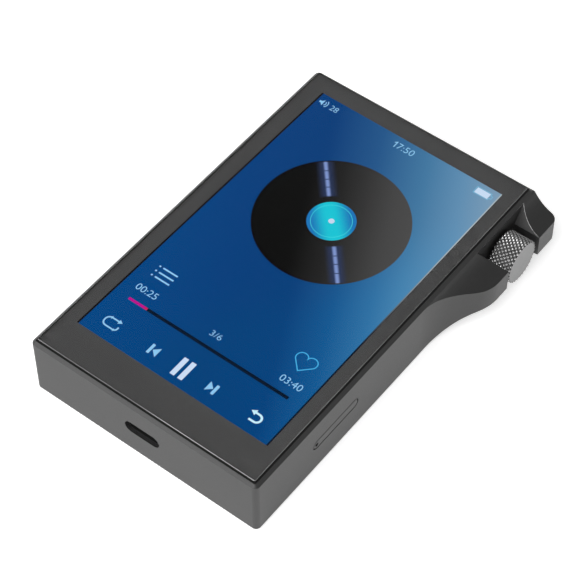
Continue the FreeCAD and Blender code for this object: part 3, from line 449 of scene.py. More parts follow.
def printed_border():
    """Dark grey ink on the back of the glass."""
    shader = Shader("border_ink", grey(0.085), 0.6, Specular_IOR_Level=0.1)
    cloud = shader.noise(0.04)
    shader.feed("Base Color", shader.mix(cloud, grey(0.054), grey(0.061)))
    return shader.material


def black_mask():
    """The matt black mask round the display's lit area."""
    return Shader("black_mask", grey(0.003), 1.0, Specular_IOR_Level=0.0).material


def lit_shader(name):
    """Part of the lit display: black, without gloss, and seen only by its own light."""
    return Shader(name, grey(0.0), 1.0, Specular_IOR_Level=0.0, Emission_Strength=1.0)


def glowing(name, colour):
    """One lit colour of the display, with the faint unevenness of its backlight."""
    shader = lit_shader(name)
    uneven = shader.noise(0.08, detail=1.0)
    dimmer = [part * 0.97 for part in colour[:3]] + [1.0]
    shader.feed("Emission Color", shader.mix(uneven, dimmer, colour))
    return shader.material


def display_sweep():
    """The display's backdrop: deep blue, turning to pale steel blue towards the wheel's corner."""
    shader = lit_shader("display_backdrop")
    sweep = shader.along(on_screen(0.0, 0.0, PICTURE_TOP), SWEEP_DIRECTION)
    place = shader.spread(sweep, SWEEP_START, SWEEP_END)
    span = SWEEP_END - SWEEP_START
    upper, lower = (shader.ramp(place, [((reach - SWEEP_START) / span, display_colour(*colour))
                                        for reach, colour in colours])
                    for colours in (UPPER_COLOURS, LOWER_COLOURS))
    towards_lower = shader.along(on_screen(0.0, 0.0, PICTURE_TOP), LOWER_DIRECTION)
    share = shader.spread(towards_lower, *LOWER_REACH, smooth=True)
    shader.feed("Emission Color", shader.mix(share, upper, lower))
    return shader.material


def record_vinyl():
    """The pictured record: grooved black with a grey sheen, and two narrow glints from its middle."""
    shader = lit_shader("record_vinyl")
    middle = on_screen(*RECORD_CENTRE, RECORD_TOP)
    sweep = shader.along(on_screen(0.0, 0.0, RECORD_TOP), SWEEP_DIRECTION)
    place = shader.spread(sweep, SWEEP_START, SWEEP_END)
    span = SWEEP_END - SWEEP_START
    stops = [((reach - SWEEP_START) / span, display_colour(value, value, value))
             for reach, value in VINYL_GREYS]
    body = shader.ramp(place, stops)
    tilt = math.radians(GLINT_ANGLE)
    lengthwise = shader.along(middle, (math.cos(tilt), math.sin(tilt), 0.0))
    sideways = shader.along(middle, (-math.sin(tilt), math.cos(tilt), 0.0))
    across = shader.math("ABSOLUTE", sideways)
    out = shader.math("ABSOLUTE", lengthwise)
    square = shader.math("ADD", shader.math("MULTIPLY", across, across), shader.math("MULTIPLY", out, out))
    radius = shader.math("SQRT", square)
    groove = shader.math("SINE", shader.math("MULTIPLY", radius, math.tau / GROOVE_PITCH))
    shade = shader.spread(groove, -1.0, 1.0, 0.95, 1.03)
    body = shader.mix(1.0, body, shade, "MULTIPLY")
    ends = shader.math("MULTIPLY", shader.spread(radius, *GLINT_START, smooth=True),
                       shader.spread(radius, *GLINT_END, 1.0, 0.0, smooth=True))
    haze = shader.math("MULTIPLY", ends, shader.spread(across, *HAZE_REACH, 0.85, 0.0, smooth=True))
    core = shader.math("MULTIPLY", ends, shader.spread(across, *CORE_REACH, 1.0, 0.0, smooth=True))
    for gap in GLINT_GAPS:
        off = shader.math("ABSOLUTE", shader.math("SUBTRACT", radius, gap))
        core = shader.math("MULTIPLY", core, shader.spread(off, *GAP_REACH, 0.1, 1.0, smooth=True))
    body = shader.mix(haze, body, display_colour(44, 58, 94))
    shader.feed("Emission Color", shader.mix(core, body, display_colour(126, 148, 203)))
    return shader.material


def record_label():
    """The record's paper label: a cyan band between two blue sides."""
    shader = lit_shader("record_label")
    tilt = math.radians(LABEL_ANGLE)
    middle = on_screen(*RECORD_CENTRE, RECORD_TOP)
    sideways = shader.math("ABSOLUTE", shader.along(middle, (-math.sin(tilt), math.cos(tilt), 0.0)))
    band = shader.spread(sideways, *LABEL_BAND, smooth=True)
    cyan, blue = display_colour(24, 196, 213), display_colour(28, 116, 184)
    shader.feed("Emission Color", shader.mix(band, cyan, blue))
    return shader.material


def window_glint():
    """A painted highlight: a glowing pale line where light catches the window's right edge, fading towards
    the bottom end.
    """
    shader = lit_shader("window_glint")
    up = shader.along(on_screen(0.0, 0.0, PRINT_TOP), (0.0, 1.0, 0.0))
    fade = shader.spread(up, *WINDOW_GLINT_FADE, smooth=True)
    shader.feed("Emission Color", shader.mix(fade, display_colour(10, 30, 52), display_colour(168, 180, 186)))
    return shader.material


# ---------------------------------------------------------------- sizes and places, from the frame

HOUSING_LOW, HOUSING_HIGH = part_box("main_housing")
GLASS_LOW, GLASS_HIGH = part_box("cover_glass")
PANEL_LOW, PANEL_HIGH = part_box("lcd_panel")
KNOB_LOW, KNOB_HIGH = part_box("volume_knob")
TONGUE_LOW, TONGUE_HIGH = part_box("usb_tongue")
SET_SCREW_LOW, SET_SCREW_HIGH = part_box("knob_set_screw")

WHEEL_Y, WHEEL_Z = (KNOB_LOW.y + KNOB_HIGH.y) / 2, (KNOB_LOW.z + KNOB_HIGH.z) / 2
WHEEL_CENTRE = (KNOB_HIGH.x, WHEEL_Y, WHEEL_Z)
WHEEL_RADIUS = (KNOB_HIGH.y - KNOB_LOW.y) / 2

EDGE_WIDTH = 0.06 * MM

# The creases above the wheel, in millimetres from its middle: along the body, up, and in from the shoulders.
CREASE_NEAR, CREASE_FAR, CREASE_RISE, CREASE_REACH = 6.1, 10.2, 3.1, 6.8
# How far the crease's painted highlight fades in and out, in millimetres, and its grey, that of bare metal.
CREASE_HIGHLIGHT_FADE = 0.2
CREASE_HIGHLIGHT_GREY = grey(0.48)

# The wheel's surface: its axis, its turned rings, and the share of each groove's depth, at the tips, that is
# left out of the painted shade in the grooves.
WHEEL_DIRECTION = (1.0, 0.0, 0.0)
TURNING_PITCH = 0.16 * MM
UNSHADED_TIP_SHARE = 0.15

GLASS_BEVEL = 0.065 * MM
GLASS_CORNER, PANEL_CORNER, WINDOW_CORNER = 0.4 * MM, 0.3 * MM, 0.05 * MM
LAYER = 0.012 * MM
PANE_LOW = GLASS_LOW.z + 3 * LAYER
PRINT_TOP = PANE_LOW - LAYER / 2
MARK_TOP = PRINT_TOP - 2 * LAYER
LABEL_TOP = MARK_TOP
RECORD_TOP = LABEL_TOP - 1.5 * LAYER
PICTURE_TOP = RECORD_TOP - 1.5 * LAYER
PANEL_TOP = PICTURE_TOP - 1.5 * LAYER

# The display's picture, in millimetres from the middle of the glass, as it appears through the glass.
# The glass bends the view by GLASS_SHIFT, so each item sits that far from where it appears.
GLASS_SHIFT = (-0.31, 0.40)
LIT_WIDTH, LIT_LENGTH = 51.64, 87.0
LIT_CENTRE = (0.47, 1.7)
WINDOW_MARGIN = 0.43
# The lit area is slightly out of square: how far each corner is moved, by its side and end.
CORNER_SHIFTS = {(-1, -1): (-0.45, 0.0), (1, -1): (0.0, -0.22), (1, 1): (0.0, -0.12), (-1, 1): (0.45, 0.3)}
# The painted highlight along the window's right edge: its width and where it fades in, in millimetres.
WINDOW_GLINT_WIDTH = 0.3
WINDOW_GLINT_FADE = (-12.0, 30.0)
UNDER_INK = 0.4
RECORD_CENTRE = (0.4, 15.0)
RECORD_RADIUS = 18.3
LABEL_RADIUS = 5.7
LABEL_RING = (4.82, 4.7)
SPINDLE_RADIUS = 0.72
GROOVE_PITCH = 0.62
GLINT_ANGLE = 131.4
GLINT_GAPS = (10.2, 12.6, 15.2)
# Where the glints fade in and out, from the record's middle.
GLINT_START, GLINT_END = (7.2, 7.8), (17.8, 18.1)
# How far across a glint its haze, its bright core and the edge of a gap fade.
HAZE_REACH, CORE_REACH, GAP_REACH = (0.3, 2.6), (0.05, 0.75), (0.05, 0.22)
LABEL_ANGLE = -45.0
LABEL_BAND = (0.6, 5.0)
# The backdrop's colours, by how far along the sweep they lie, in its upper and its lower part.
SWEEP_DIRECTION = (2.0, 1.0, 0.0)
SWEEP_START, SWEEP_END = -100.0, 100.0
UPPER_COLOURS = ((-90, (0, 70, 132)), (-30, (0, 62, 125)), (5, (0, 60, 121)), (32, (34, 86, 138)),
                 (58, (66, 120, 161)), (78, (96, 142, 178)), (97, (124, 156, 182)))
LOWER_COLOURS = ((-90, (0, 70, 132)), (-30, (0, 64, 122)), (5, (0, 65, 125)), (26, (15, 87, 145)),
                 (45, (46, 113, 164)), (58, (68, 131, 176)), (78, (92, 145, 184)), (97, (120, 158, 188)))
# Which way the lower part lies, and over what reach one part turns into the other.
LOWER_DIRECTION = (1.0, -0.6, 0.0)
LOWER_REACH = (-2.0, 22.0)
# The record's greys, along the same sweep.
VINYL_GREYS = ((-60, 2), (0, 5), (17, 33), (30, 51), (44, 68), (60, 76))


def on_screen(across, along, level=0.0):
    """A place in the picture, from where it appears through the glass, in metres."""
    return ((across + GLASS_SHIFT[0]) * MM, (along + GLASS_SHIFT[1]) * MM, level)


def spot(across, along):
    return on_screen(across, along)[:2]


# ---------------------------------------------------------------- housing and its metal parts

def housing_shell(finish, edge_finish):
    piece = bevelled_copy("main_housing", "housing_shell", [finish, edge_finish], EDGE_WIDTH,
                          is_outer=outside_housing, is_always=on_crease, edge_slot=1)
    return finish_piece(piece, HOUSING, ["main_housing"])


def on_crease(edge):
    """The two long edges where the wheel's recess cuts the shoulders' upper flanks."""
    middle = (edge.verts[0].co + edge.verts[1].co) / 2
    off = abs(middle.y - WHEEL_Y)
    return (HOUSING_HIGH.x - middle.x < CREASE_REACH * MM and CREASE_NEAR * MM < off < CREASE_FAR * MM
            and middle.z > WHEEL_Z + CREASE_RISE * MM)


def outside_housing(edge):
    """Edges on the skin of the housing: not in its pockets, on the narrow rim round the glass, or where a
    shoulder runs out into the corner."""
    low, high = HOUSING_LOW, HOUSING_HIGH
    inset, rim, run_out, corner_reach = 2.6 * MM, 0.1 * MM, 0.4 * MM, 2.0 * MM
    middle = (edge.verts[0].co + edge.verts[1].co) / 2
    deep = (low.x + inset < middle.x < -low.x - inset and low.y + inset < middle.y < high.y - inset)
    on_rim = middle.z > high.z - rim
    at_run_out = middle.y > high.y - run_out and abs(middle.x + low.x) < corner_reach
    return not (deep or on_rim or at_run_out)


# ---------------------------------------------------------------- glass, print and display

def glass_pane(clear, edge, black):
    """The cover glass, with a bevel all round its upper edge and black on its side walls, a painted shade for
    the dark gap round the glass.
    """
    width, length = GLASS_HIGH.x - GLASS_LOW.x, GLASS_HIGH.y - GLASS_LOW.y
    levels = ((0.0, PANE_LOW), (0.0, GLASS_HIGH.z - GLASS_BEVEL), (GLASS_BEVEL, GLASS_HIGH.z))
    loops = []
    for inset, level in levels:
        outline = rounded_rectangle(width - 2 * inset, length - 2 * inset, GLASS_CORNER - inset)
        loops.append([(x, y, level) for x, y in outline])
    mesh = skin("glass_pane", loops)
    piece = object_from(mesh, "glass_pane", [clear, edge, black])
    for face in mesh.polygons:
        if GLASS_HIGH.z - GLASS_BEVEL < face.center.z < GLASS_HIGH.z - HAIR:
            face.material_index = 1
        # The side walls: black, as painted shade for the dark gap round the glass.
        elif PANE_LOW + HAIR < face.center.z < GLASS_HIGH.z - GLASS_BEVEL:
            face.material_index = 2
    piece.visible_shadow = False
    return finish_piece(piece, HOUSING, ["cover_glass"])


def window_outline(margin_across, margin_along):
    """The lit area's outline with a margin round it, and each corner moved by its own shift."""
    middle = spot(*LIT_CENTRE)
    outline = rounded_rectangle((LIT_WIDTH + 2 * margin_across) * MM, (LIT_LENGTH + 2 * margin_along) * MM,
                                WINDOW_CORNER, middle=middle)
    shifted = []
    for x, y in outline:
        across, along = CORNER_SHIFTS[(1 if x > middle[0] else -1, 1 if y > middle[1] else -1)]
        shifted.append((x + across * MM, y + along * MM))
    return shifted


def border_print(ink):
    """The ink frame under the glass, out to the glass's own edge."""
    outer = rounded_rectangle(GLASS_HIGH.x - GLASS_LOW.x, GLASS_HIGH.y - GLASS_LOW.y, GLASS_CORNER)
    inner = window_outline(WINDOW_MARGIN, 0.0)
    piece = ring_plate("border_print", outer, inner, PRINT_TOP - LAYER, PRINT_TOP, ink)
    return finish_piece(piece, HOUSING)


def display_slab(mask):
    """The display's body, a little thinner than the space it has, so the picture's layers lie above it."""
    low, high = PANEL_LOW, PANEL_HIGH
    middle = ((low.x + high.x) / 2, (low.y + high.y) / 2)
    outline = rounded_rectangle(high.x - low.x, high.y - low.y, PANEL_CORNER, middle=middle)
    piece = plate("display_slab", outline, low.z, PANEL_TOP, mask)
    return finish_piece(piece, HOUSING, ["lcd_panel"])


def picture_piece(piece):
    return finish_piece(piece, HOUSING)


def disc(name, radius, low, high, material):
    return picture_piece(plate(name, circle(radius * MM, spot(*RECORD_CENTRE)), low, high, material))


def display_picture():
    lit = window_outline(0.0, UNDER_INK)
    picture_piece(plate("display_backdrop", lit, PANEL_TOP + LAYER / 2, PICTURE_TOP, display_sweep()))
    disc("record", RECORD_RADIUS, PICTURE_TOP + LAYER / 2, RECORD_TOP, record_vinyl())
    disc("record_label", LABEL_RADIUS, RECORD_TOP + LAYER / 2, LABEL_TOP, record_label())
    outer, inner = (circle(radius * MM, spot(*RECORD_CENTRE)) for radius in LABEL_RING)
    rim = ring_plate("record_label_ring", outer, inner, LABEL_TOP + LAYER / 4, LABEL_TOP + LAYER,
                     glowing("label_ring", display_colour(70, 222, 226)))
    picture_piece(rim)
    disc("record_spindle", SPINDLE_RADIUS, LABEL_TOP + LAYER / 4, LABEL_TOP + LAYER,
         glowing("label_spindle", display_colour(200, 218, 240)))
    right = LIT_CENTRE[0] + LIT_WIDTH / 2
    low, high = LIT_CENTRE[1] - LIT_LENGTH / 2, LIT_CENTRE[1] + LIT_LENGTH / 2
    # The painted highlight along the window's right edge, as a glowing strip.
    glint = [spot(right + across, along) for across, along in
             ((0.0, low), (WINDOW_GLINT_WIDTH, low), (WINDOW_GLINT_WIDTH, high), (0.0, high))]
    picture_piece(plate("window_glint", glint, PICTURE_TOP + LAYER, RECORD_TOP, window_glint()))


# ---------------------------------------------------------------- marks on the display

MARK_LOW = RECORD_TOP + LAYER / 2
SHORTEST_MITRE = 0.4


def stroke_mesh(path, width):
    """A flat stroke of even width along a path of points that appear at these places, with mitred corners."""
    closed = (Vector(path[0]) - Vector(path[-1])).length < 1e-6
    points = [Vector(point) for point in (path[:-1] if closed else path)]
    count = len(points)
    sections = []
    for index, point in enumerate(points):
        before = points[index - 1] if index > 0 or closed else None
        after = points[(index + 1) % count] if index < count - 1 or closed else None
        directions = [(b - a).normalized() for a, b in ((before, point), (point, after)) if a and b]
        normal = Vector((-directions[0].y, directions[0].x))
        if len(directions) == 2:
            across = Vector((-(directions[0].y + directions[1].y), directions[0].x + directions[1].x))
            across = across.normalized() if across.length > 1e-6 else normal
            half = width / 2 / max(across.dot(normal), SHORTEST_MITRE)
        else:
            across = normal
            half = width / 2
        left, right = spot(*(point + across * half)), spot(*(point - across * half))
        sections.append([(*left, MARK_LOW), (*right, MARK_LOW), (*right, MARK_TOP), (*left, MARK_TOP)])
    if closed:
        sections.append(sections[0])
    mesh = skin("stroke", sections, closed_ends=not closed)
    if closed:
        weld(mesh)
    return mesh


def patch_mesh(outline):
    """A flat filled shape whose outline appears at these places."""
    loops = [[(*spot(*point), level) for point in outline] for level in (MARK_LOW, MARK_TOP)]
    return skin("patch", loops)


def bar(left, right, low, high):
    return patch_mesh(((left, low), (right, low), (right, high), (left, high)))


def arc(centre, radius, start, end, steps=20):
    """Points round a centre, from one angle to another, in degrees."""
    angles = [math.radians(start + (end - start) * step / steps) for step in range(steps + 1)]
    return [(centre[0] + radius * math.cos(angle), centre[1] + radius * math.sin(angle)) for angle in angles]


def mark(name, meshes, material):
    """One mark of the picture, joined from its strokes and patches."""
    return picture_piece(object_from(joined(name, meshes), name, [material]))


def lettering(name, text, left, right, low, high, material, weight=0.0):
    """Digits that appear between these limits."""
    curve = bpy.data.curves.new(name, "FONT")
    curve.body = text
    curve.size = 1.0
    curve.offset = weight
    curve.extrude = 0.1
    holder = bpy.data.objects.new(name + "_type", curve)
    bpy.context.scene.collection.objects.link(holder)
    mesh = bpy.data.meshes.new_from_object(holder.evaluated_get(bpy.context.evaluated_depsgraph_get()))
    bpy.data.objects.remove(holder)
    corners = [Vector([pick(vertex.co[axis] for vertex in mesh.vertices) for axis in range(3)])
               for pick in (min, max)]
    size = corners[1] - corners[0]
    start, end = spot(left, low), spot(right, high)
    for vertex in mesh.vertices:
        share = [(vertex.co[axis] - corners[0][axis]) / size[axis] for axis in range(3)]
        vertex.co = (start[0] + share[0] * (end[0] - start[0]), start[1] + share[1] * (end[1] - start[1]),
                     MARK_LOW + share[2] * (MARK_TOP - MARK_LOW))
    weld(mesh)
    return picture_piece(object_from(mesh, name, [material]))


def status_marks(pale, lilac, outline):
    speaker = [patch_mesh(((-24.25, 42.75), (-23.75, 42.75), (-23.1, 42.1), (-23.1, 44.0), (-23.75, 43.35),
                           (-24.25, 43.35)))]
    speaker += [stroke_mesh(arc((-23.2, 43.05), radius, -50, 50, 10), 0.22) for radius in (0.75, 1.3)]
    mark("speaker_mark", speaker, pale)
    lettering("volume_level", "28", -20.9, -18.8, 42.15, 43.75, pale, -0.008)
    mark("clock_one", [stroke_mesh(((-2.35, 43.2), (-1.78, 43.62), (-1.78, 41.88)), 0.26)], pale)
    lettering("clock", "7:50", -1.16, 3.36, 41.88, 43.73, pale, -0.006)
    mark("battery_level", [bar(20.95, 24.5, 41.9, 43.6)], lilac)
    rim = ((20.75, 41.75), (24.7, 41.75), (24.7, 42.35), (25.25, 42.35), (25.25, 43.15), (24.7, 43.15),
           (24.7, 43.78), (20.75, 43.78), (20.75, 41.75))
    mark("battery_outline", [stroke_mesh(rim, 0.14)], outline)


def list_mark(pale):
    rows = (-18.71, -20.21, -21.68)
    parts = [bar(-20.93, -16.82, row - 0.21, row + 0.21) for row in rows]
    parts += [bar(-22.02, -21.6, row - 0.21, row + 0.21) for row in rows]
    mark("list_mark", parts, pale)


def progress_marks(pale, black, magenta, red):
    low, high = -30.2, -29.35
    mark("progress_track", [bar(-16.3, 22.7, low, high)], black)
    mark("progress_done", [bar(-21.57, -17.1, low + 0.08, high - 0.08)], magenta)
    mark("progress_end", [bar(-17.1, -16.3, low + 0.08, high - 0.08)], red)
    lettering("time_played", "00:25", -22.46, -16.7, -26.86, -25.06, pale, -0.004)
    lettering("track_count", "3/6", -1.36, 1.64, -26.86, -25.26, pale, -0.008)
    lettering("time_whole", "03:40", 17.9, 23.6, -27.06, -25.26, pale, -0.004)


def repeat_mark(pale):
    top, bottom, left, right, corner = -36.1, -38.6, -21.96, -18.0, 1.1
    path = [(right - 0.9, top), (left + corner, top)]
    path += arc((left + corner, top - corner), corner, 90, 180, 8)
    path += arc((left + corner, bottom + corner), corner, 180, 270, 8)
    path += [(right - 0.7, bottom)]
    path += arc((right - 0.7, bottom + 0.7), 0.7, 270, 360, 6)
    path += [(right, -37.4)]
    head = patch_mesh(((-19.0, -35.5), (-18.0, -36.1), (-19.0, -36.75)))
    mark("repeat_mark", [stroke_mesh(path, 0.38), head], pale)


def transport_marks(lilac, pale):
    mark("previous_mark", [bar(-9.2, -8.5, -38.8, -36.07),
                           patch_mesh(((-8.3, -37.45), (-6.8, -38.8), (-6.8, -36.1)))], pale)
    mark("pause_mark", [bar(-1.54, -0.32, -40.0, -34.75), bar(0.57, 1.8, -40.0, -34.75)], lilac)
    mark("next_mark", [patch_mesh(((8.57, -37.55), (7.04, -36.2), (7.04, -38.9))),
                       bar(8.7, 9.43, -38.9, -36.2)], pale)


def back_mark(white):
    path = [(19.6, -36.8)] + arc((20.6, -37.88), 1.08, 90, -90, 16) + [(19.2, -38.96)]
    head = patch_mesh(((18.4, -36.8), (19.65, -37.58), (19.65, -36.02)))
    mark("back_mark", [stroke_mesh(path, 0.52), head], white)


def heart_mark(cyan):
    """A heart outline: two arcs above, and straight sides that meet in a point."""
    notch, tip, lobe = (19.8, -19.15), (19.8, -22.8), 1.42
    right = arc((notch[0] + 1.28, -19.5), lobe, 150, -38, 18)
    half = [notch] + right + [tip]
    mirrored = [(2 * notch[0] - x, y) for x, y in reversed(half[1:-1])]
    mark("heart_mark", [stroke_mesh(half + mirrored + [notch], 0.27)], cyan)


def display_marks():
    pale = glowing("mark_pale", display_colour(142, 200, 238))
    white = glowing("mark_white", display_colour(200, 238, 252))
    cyan = glowing("mark_cyan", display_colour(66, 172, 226))
    lilac = glowing("mark_lilac", display_colour(202, 222, 246))
    status_marks(pale, lilac, glowing("mark_outline", display_colour(120, 190, 222)))
    list_mark(pale)
    progress_marks(pale, glowing("mark_black", display_colour(3, 20, 38)),
                   glowing("mark_magenta", display_colour(178, 16, 138)),
                   glowing("mark_red", display_colour(190, 28, 92)))
    repeat_mark(pale)
    transport_marks(lilac, pale)
    back_mark(white)
    heart_mark(cyan)


# ---------------------------------------------------------------- volume wheel

KNURLS_AROUND = 30
KNURL_PITCH = 1.15 * MM
KNURL_DEPTH = 0.42 * MM
KNURL_STEPS = 8
# Above 1, so the tips are cut off flat.
KNURL_STEEPNESS = 1.3
WHEEL_BORE_RADIUS, WHEEL_BORE_DEPTH = 1.52 * MM, 4.9 * MM
WHEEL_MARGIN, WHEEL_CHAMFER, WHEEL_BACK_STEP = 0.22 * MM, 0.14 * MM, 0.1 * MM
SCREW_WAY_SLACK = 0.03 * MM


def knurl_height(turn, reach):
    """Height of the diamond knurl, from 0 in its grooves to 1 on its tips."""
    def ridge(value):
        return 1.0 - abs(2.0 * (value - math.floor(value)) - 1.0)
    up = ridge(KNURLS_AROUND * turn + reach / KNURL_PITCH)
    down = ridge(KNURLS_AROUND * turn - reach / KNURL_PITCH)
    return min(1.0, KNURL_STEEPNESS * min(up, down))


def cut_away(mesh, cutter):
    """A mesh less the space that another one fills."""
    base, tool = (bpy.data.objects.new(name, data) for name, data in (("base", mesh), ("tool", cutter)))
    for piece in (base, tool):
        bpy.context.scene.collection.objects.link(piece)
    modifier = base.modifiers.new("cut", "BOOLEAN")
    modifier.operation = "DIFFERENCE"
    modifier.object = tool
    left = bpy.data.meshes.new_from_object(base.evaluated_get(bpy.context.evaluated_depsgraph_get()))
    for piece in (base, tool):
        bpy.data.objects.remove(piece)
    return left


def knurled_wheel(steel, face_steel):
    """The wheel: a diamond-knurled rim, a flat turned end, and a bore for its shaft."""
    back, front = KNOB_LOW.x, KNOB_HIGH.x
    bore_end = back + WHEEL_BORE_DEPTH
    steps = KNURLS_AROUND * KNURL_STEPS
    shoulder = WHEEL_RADIUS - KNURL_DEPTH

    def loop(place, size):
        points = []
        for step in range(steps):
            turn = step / steps
            reach = size(turn) if callable(size) else size
            points.append((place, WHEEL_Y + reach * math.cos(math.tau * turn),
                           WHEEL_Z + reach * math.sin(math.tau * turn)))
        return points

    loops = [loop(bore_end, WHEEL_BORE_RADIUS), loop(back, WHEEL_BORE_RADIUS),
             loop(back, shoulder - WHEEL_BACK_STEP)]
    first, last = back + WHEEL_MARGIN, front - WHEEL_CHAMFER

    def profile(place, taken_off=0.0):
        return lambda turn: shoulder + KNURL_DEPTH * knurl_height(turn, place - back) - taken_off

    rows = round((last - first) / KNURL_PITCH * KNURL_STEPS)
    for row in range(rows + 1):
        place = first + (last - first) * row / rows
        loops.append(loop(place, profile(place)))
    loops.append(loop(front, profile(last, WHEEL_CHAMFER)))
    screw_radius = (SET_SCREW_HIGH.x - SET_SCREW_LOW.x) / 2
    place, reach = SET_SCREW_LOW.x + screw_radius, WHEEL_RADIUS + 1.0 * MM
    outline = circle(screw_radius + SCREW_WAY_SLACK, (place, WHEEL_Y), steps=32)
    screw_way = skin("screw_way", [[(x, y, level) for x, y in outline]
                                   for level in (WHEEL_Z - reach, WHEEL_Z)])
    mesh = cut_away(skin("knurled_wheel", loops), screw_way)
    piece = object_from(mesh, "knurled_wheel", [steel, face_steel])
    for face in mesh.polygons:
        if face.center.x > front - HAIR:
            face.material_index = 1
    return finish_piece(piece, "knob", ["volume_knob"])


# ---------------------------------------------------------------- USB contacts

def usb_contacts(gold):
    """Twelve gold pads on each face of the receptacle's tongue."""
    pads, pitch = 12, 0.5 * MM
    width, length, corner, thickness, setback = 0.3 * MM, 3.6 * MM, 0.06 * MM, 0.02 * MM, 2.2 * MM
    meshes = []
    for level, direction in ((TONGUE_HIGH.z, 1), (TONGUE_LOW.z, -1)):
        for index in range(pads):
            across = (index - (pads - 1) / 2) * pitch
            outline = rounded_rectangle(width, length, corner, steps=2,
                                        middle=(across, TONGUE_LOW.y + setback))
            low, high = sorted((level, level + direction * thickness))
            meshes.append(skin("pad", [[(x, y, z) for x, y in outline] for z in (low, high)]))
    piece = object_from(joined("usb_contacts", meshes), "usb_contacts", [gold])
    return finish_piece(piece, HOUSING)


# ---------------------------------------------------------------- finishes on the CAD nodes

def slot_finishes():
    """The finish of every material slot of the CAD nodes."""
    return {
        "anodised_aluminium": anodised("anodised_aluminium", 0.072),
        "rear_aluminium": anodised("rear_aluminium", 0.1, 0.5),
        "tray_aluminium": anodised("tray_aluminium", 0.074),
        "key_aluminium": anodised("key_aluminium", 0.12, 0.42),
        "black_adhesive": plastic("black_adhesive", (0.006, 0.006, 0.006), 0.75),
        "display": plastic("display_edge", (0.01, 0.01, 0.011), 0.4),
        "cover_glass": plastic("cover_glass_plain", (0.02, 0.02, 0.02), 0.2),
        "stainless_steel": metal("stainless_steel", 0.5, 0.32, grain=12.0),
        "black_screws": metal("black_screws", 0.035, 0.36, grain=14.0),
        "steel_screws": metal("steel_screws", 0.45, 0.3),
        "backlight_film": plastic("backlight_film", (0.75, 0.76, 0.78), 0.3),
        "ribbon": plastic("ribbon", (0.42, 0.2, 0.05), 0.38),
        "circuit_board": plastic("circuit_board", (0.008, 0.05, 0.028), 0.32),
        "chip_black": plastic("chip_black", (0.022, 0.022, 0.024), 0.5),
        "module_can": metal("module_can", 0.48, 0.36),
        "connector_plastic": plastic("connector_plastic", (0.018, 0.018, 0.019), 0.45),
        "battery_wrap": plastic("battery_wrap", (0.03, 0.035, 0.045), 0.4),
        "brass": metal("brass", 0.7, 0.28, tint=(1.0, 0.74, 0.36)),
        "knurled_steel": metal("knurled_steel_plain", 0.5, 0.25),
        "turned_steel": turned("turned_steel", 0.52, 0.28),
    }


def finish_cad_nodes(finishes, own_finishes):
    """Give each CAD node the finish of its own slot, or its own finish if it has one."""
    for name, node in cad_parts.items():
        for material_slot in node.material_slots:
            slot_name = material_slot.material.name.split(".")[0]
            finish = own_finishes.get(name, finishes.get(slot_name))
            if finish:
                material_slot.material = finish


# ---------------------------------------------------------------- studio

FLOOR_SIZE, FLOOR_LOW, FLOOR_TOP = 6.0, -4.0 * MM, -0.0001 * MM
# The sky: where its bright side faces, how near to that it starts and is full, and the horizon's heights.
BRIGHT_DIRECTION, BRIGHT_REACH, HORIZON_REACH = (-0.38, -0.79, 0.42), (0.5, 0.97), (0.02, 0.3)
DIM_SKY, BRIGHT_SKY, HORIZON_SKY = grey(0.31), grey(2.15), grey(0.5)
VIEW_AZIMUTH, VIEW_ELEVATION, VIEW_ROLL = 37.828, 51.759, 0.142
VIEW_DISTANCE = 468.33 * MM
VIEW_LENS = 132.119
AIM_ACROSS, AIM_ALONG = 5.119 * MM, -6.420 * MM


def floor():
    shader = Shader("floor_paper", grey(0.92), 0.9, Emission_Strength=0.55, Emission_Color=grey(1.0))
    shader.feed("Base Color", shader.mix(shader.noise(0.01), grey(0.91), grey(0.94)))
    outline = circle(FLOOR_SIZE / 2, steps=64)
    piece = plate("floor", outline, FLOOR_LOW, FLOOR_TOP, shader.material)


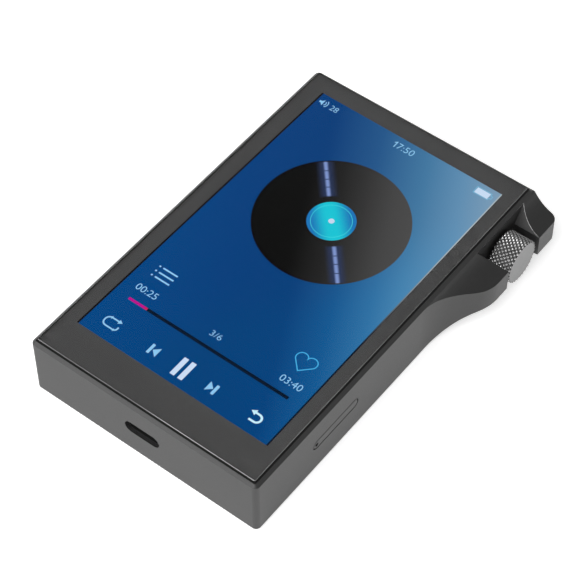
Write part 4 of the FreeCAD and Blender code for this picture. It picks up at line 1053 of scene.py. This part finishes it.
def sky():
    """A dim room with a broad bright side in front on the left, and a pale horizon."""
    world = bpy.data.worlds.new("studio")
    bpy.context.scene.world = world
    world.use_nodes = True
    tree = world.node_tree
    background = tree.nodes["Background"]
    direction = tree.nodes.new("ShaderNodeTexCoord").outputs["Generated"]
    split = tree.nodes.new("ShaderNodeSeparateXYZ")
    tree.links.new(direction, split.inputs[0])
    dot = tree.nodes.new("ShaderNodeVectorMath")
    dot.operation = "DOT_PRODUCT"
    dot.inputs[1].default_value = Vector(BRIGHT_DIRECTION).normalized()
    tree.links.new(direction, dot.inputs[0])
    side = mix_colours(tree, map_range(tree, dot.outputs["Value"], *BRIGHT_REACH, smooth=True),
                       DIM_SKY, BRIGHT_SKY)
    height = map_range(tree, split.outputs["Z"], *HORIZON_REACH, smooth=True)
    tree.links.new(mix_colours(tree, height, HORIZON_SKY, side), background.inputs["Color"])


def soft_light(name, place, aim, size, power):
    data = bpy.data.lights.new(name, "AREA")
    data.shape = "DISK"
    data.size = size
    data.energy = power
    light = bpy.data.objects.new(name, data)
    bpy.context.scene.collection.objects.link(light)
    light.location = place
    light.rotation_euler = (Vector(aim) - Vector(place)).to_track_quat("-Z", "Y").to_euler()


def lights():
    middle = (0.0, 0.0, 0.01)
    soft_light("key", (0.1, -0.7, 0.9), middle, 0.7, 4.2)
    soft_light("side", (0.8, -0.25, 0.7), middle, 0.6, 0.2)


def camera():
    data = bpy.data.cameras.new("camera")
    data.lens = VIEW_LENS
    data.sensor_width = 36.0
    piece = bpy.data.objects.new("camera", data)
    bpy.context.scene.collection.objects.link(piece)
    azimuth, elevation = math.radians(VIEW_AZIMUTH), math.radians(VIEW_ELEVATION)
    back = Vector((math.sin(azimuth) * math.cos(elevation), -math.cos(azimuth) * math.cos(elevation),
                   math.sin(elevation)))
    aim = Vector((AIM_ACROSS, AIM_ALONG, GLASS_HIGH.z))
    piece.location = aim + back * VIEW_DISTANCE
    roll = Quaternion(back, math.radians(-VIEW_ROLL))
    piece.rotation_euler = (roll @ (-back).to_track_quat("-Z", "Y")).to_euler()
    data.clip_start, data.clip_end = 0.01, 50.0
    bpy.context.scene.camera = piece


# ---------------------------------------------------------------- the whole

def build():
    finishes = slot_finishes()
    # The USB shell's steel is made dark as painted shade for the dark inside of the port.
    finish_cad_nodes(finishes, {"usb_shell": metal("usb_shell_painted_shade", 0.09, 0.42, grain=12.0)})
    housing_shell(finishes["anodised_aluminium"], edge_wear_and_highlight(0.1))
    glass_pane(clear_glass(), ground_edge(), finishes["black_adhesive"])
    border_print(printed_border())
    display_slab(black_mask())
    display_picture()
    display_marks()
    knurled_wheel(knurled_finish(0.66, 0.2), turned("wheel_face", 0.225, 0.42))
    usb_contacts(finishes["brass"])
    floor()
    sky()
    lights()
    camera()
    bpy.context.scene.view_settings.view_transform = "Standard"


build()
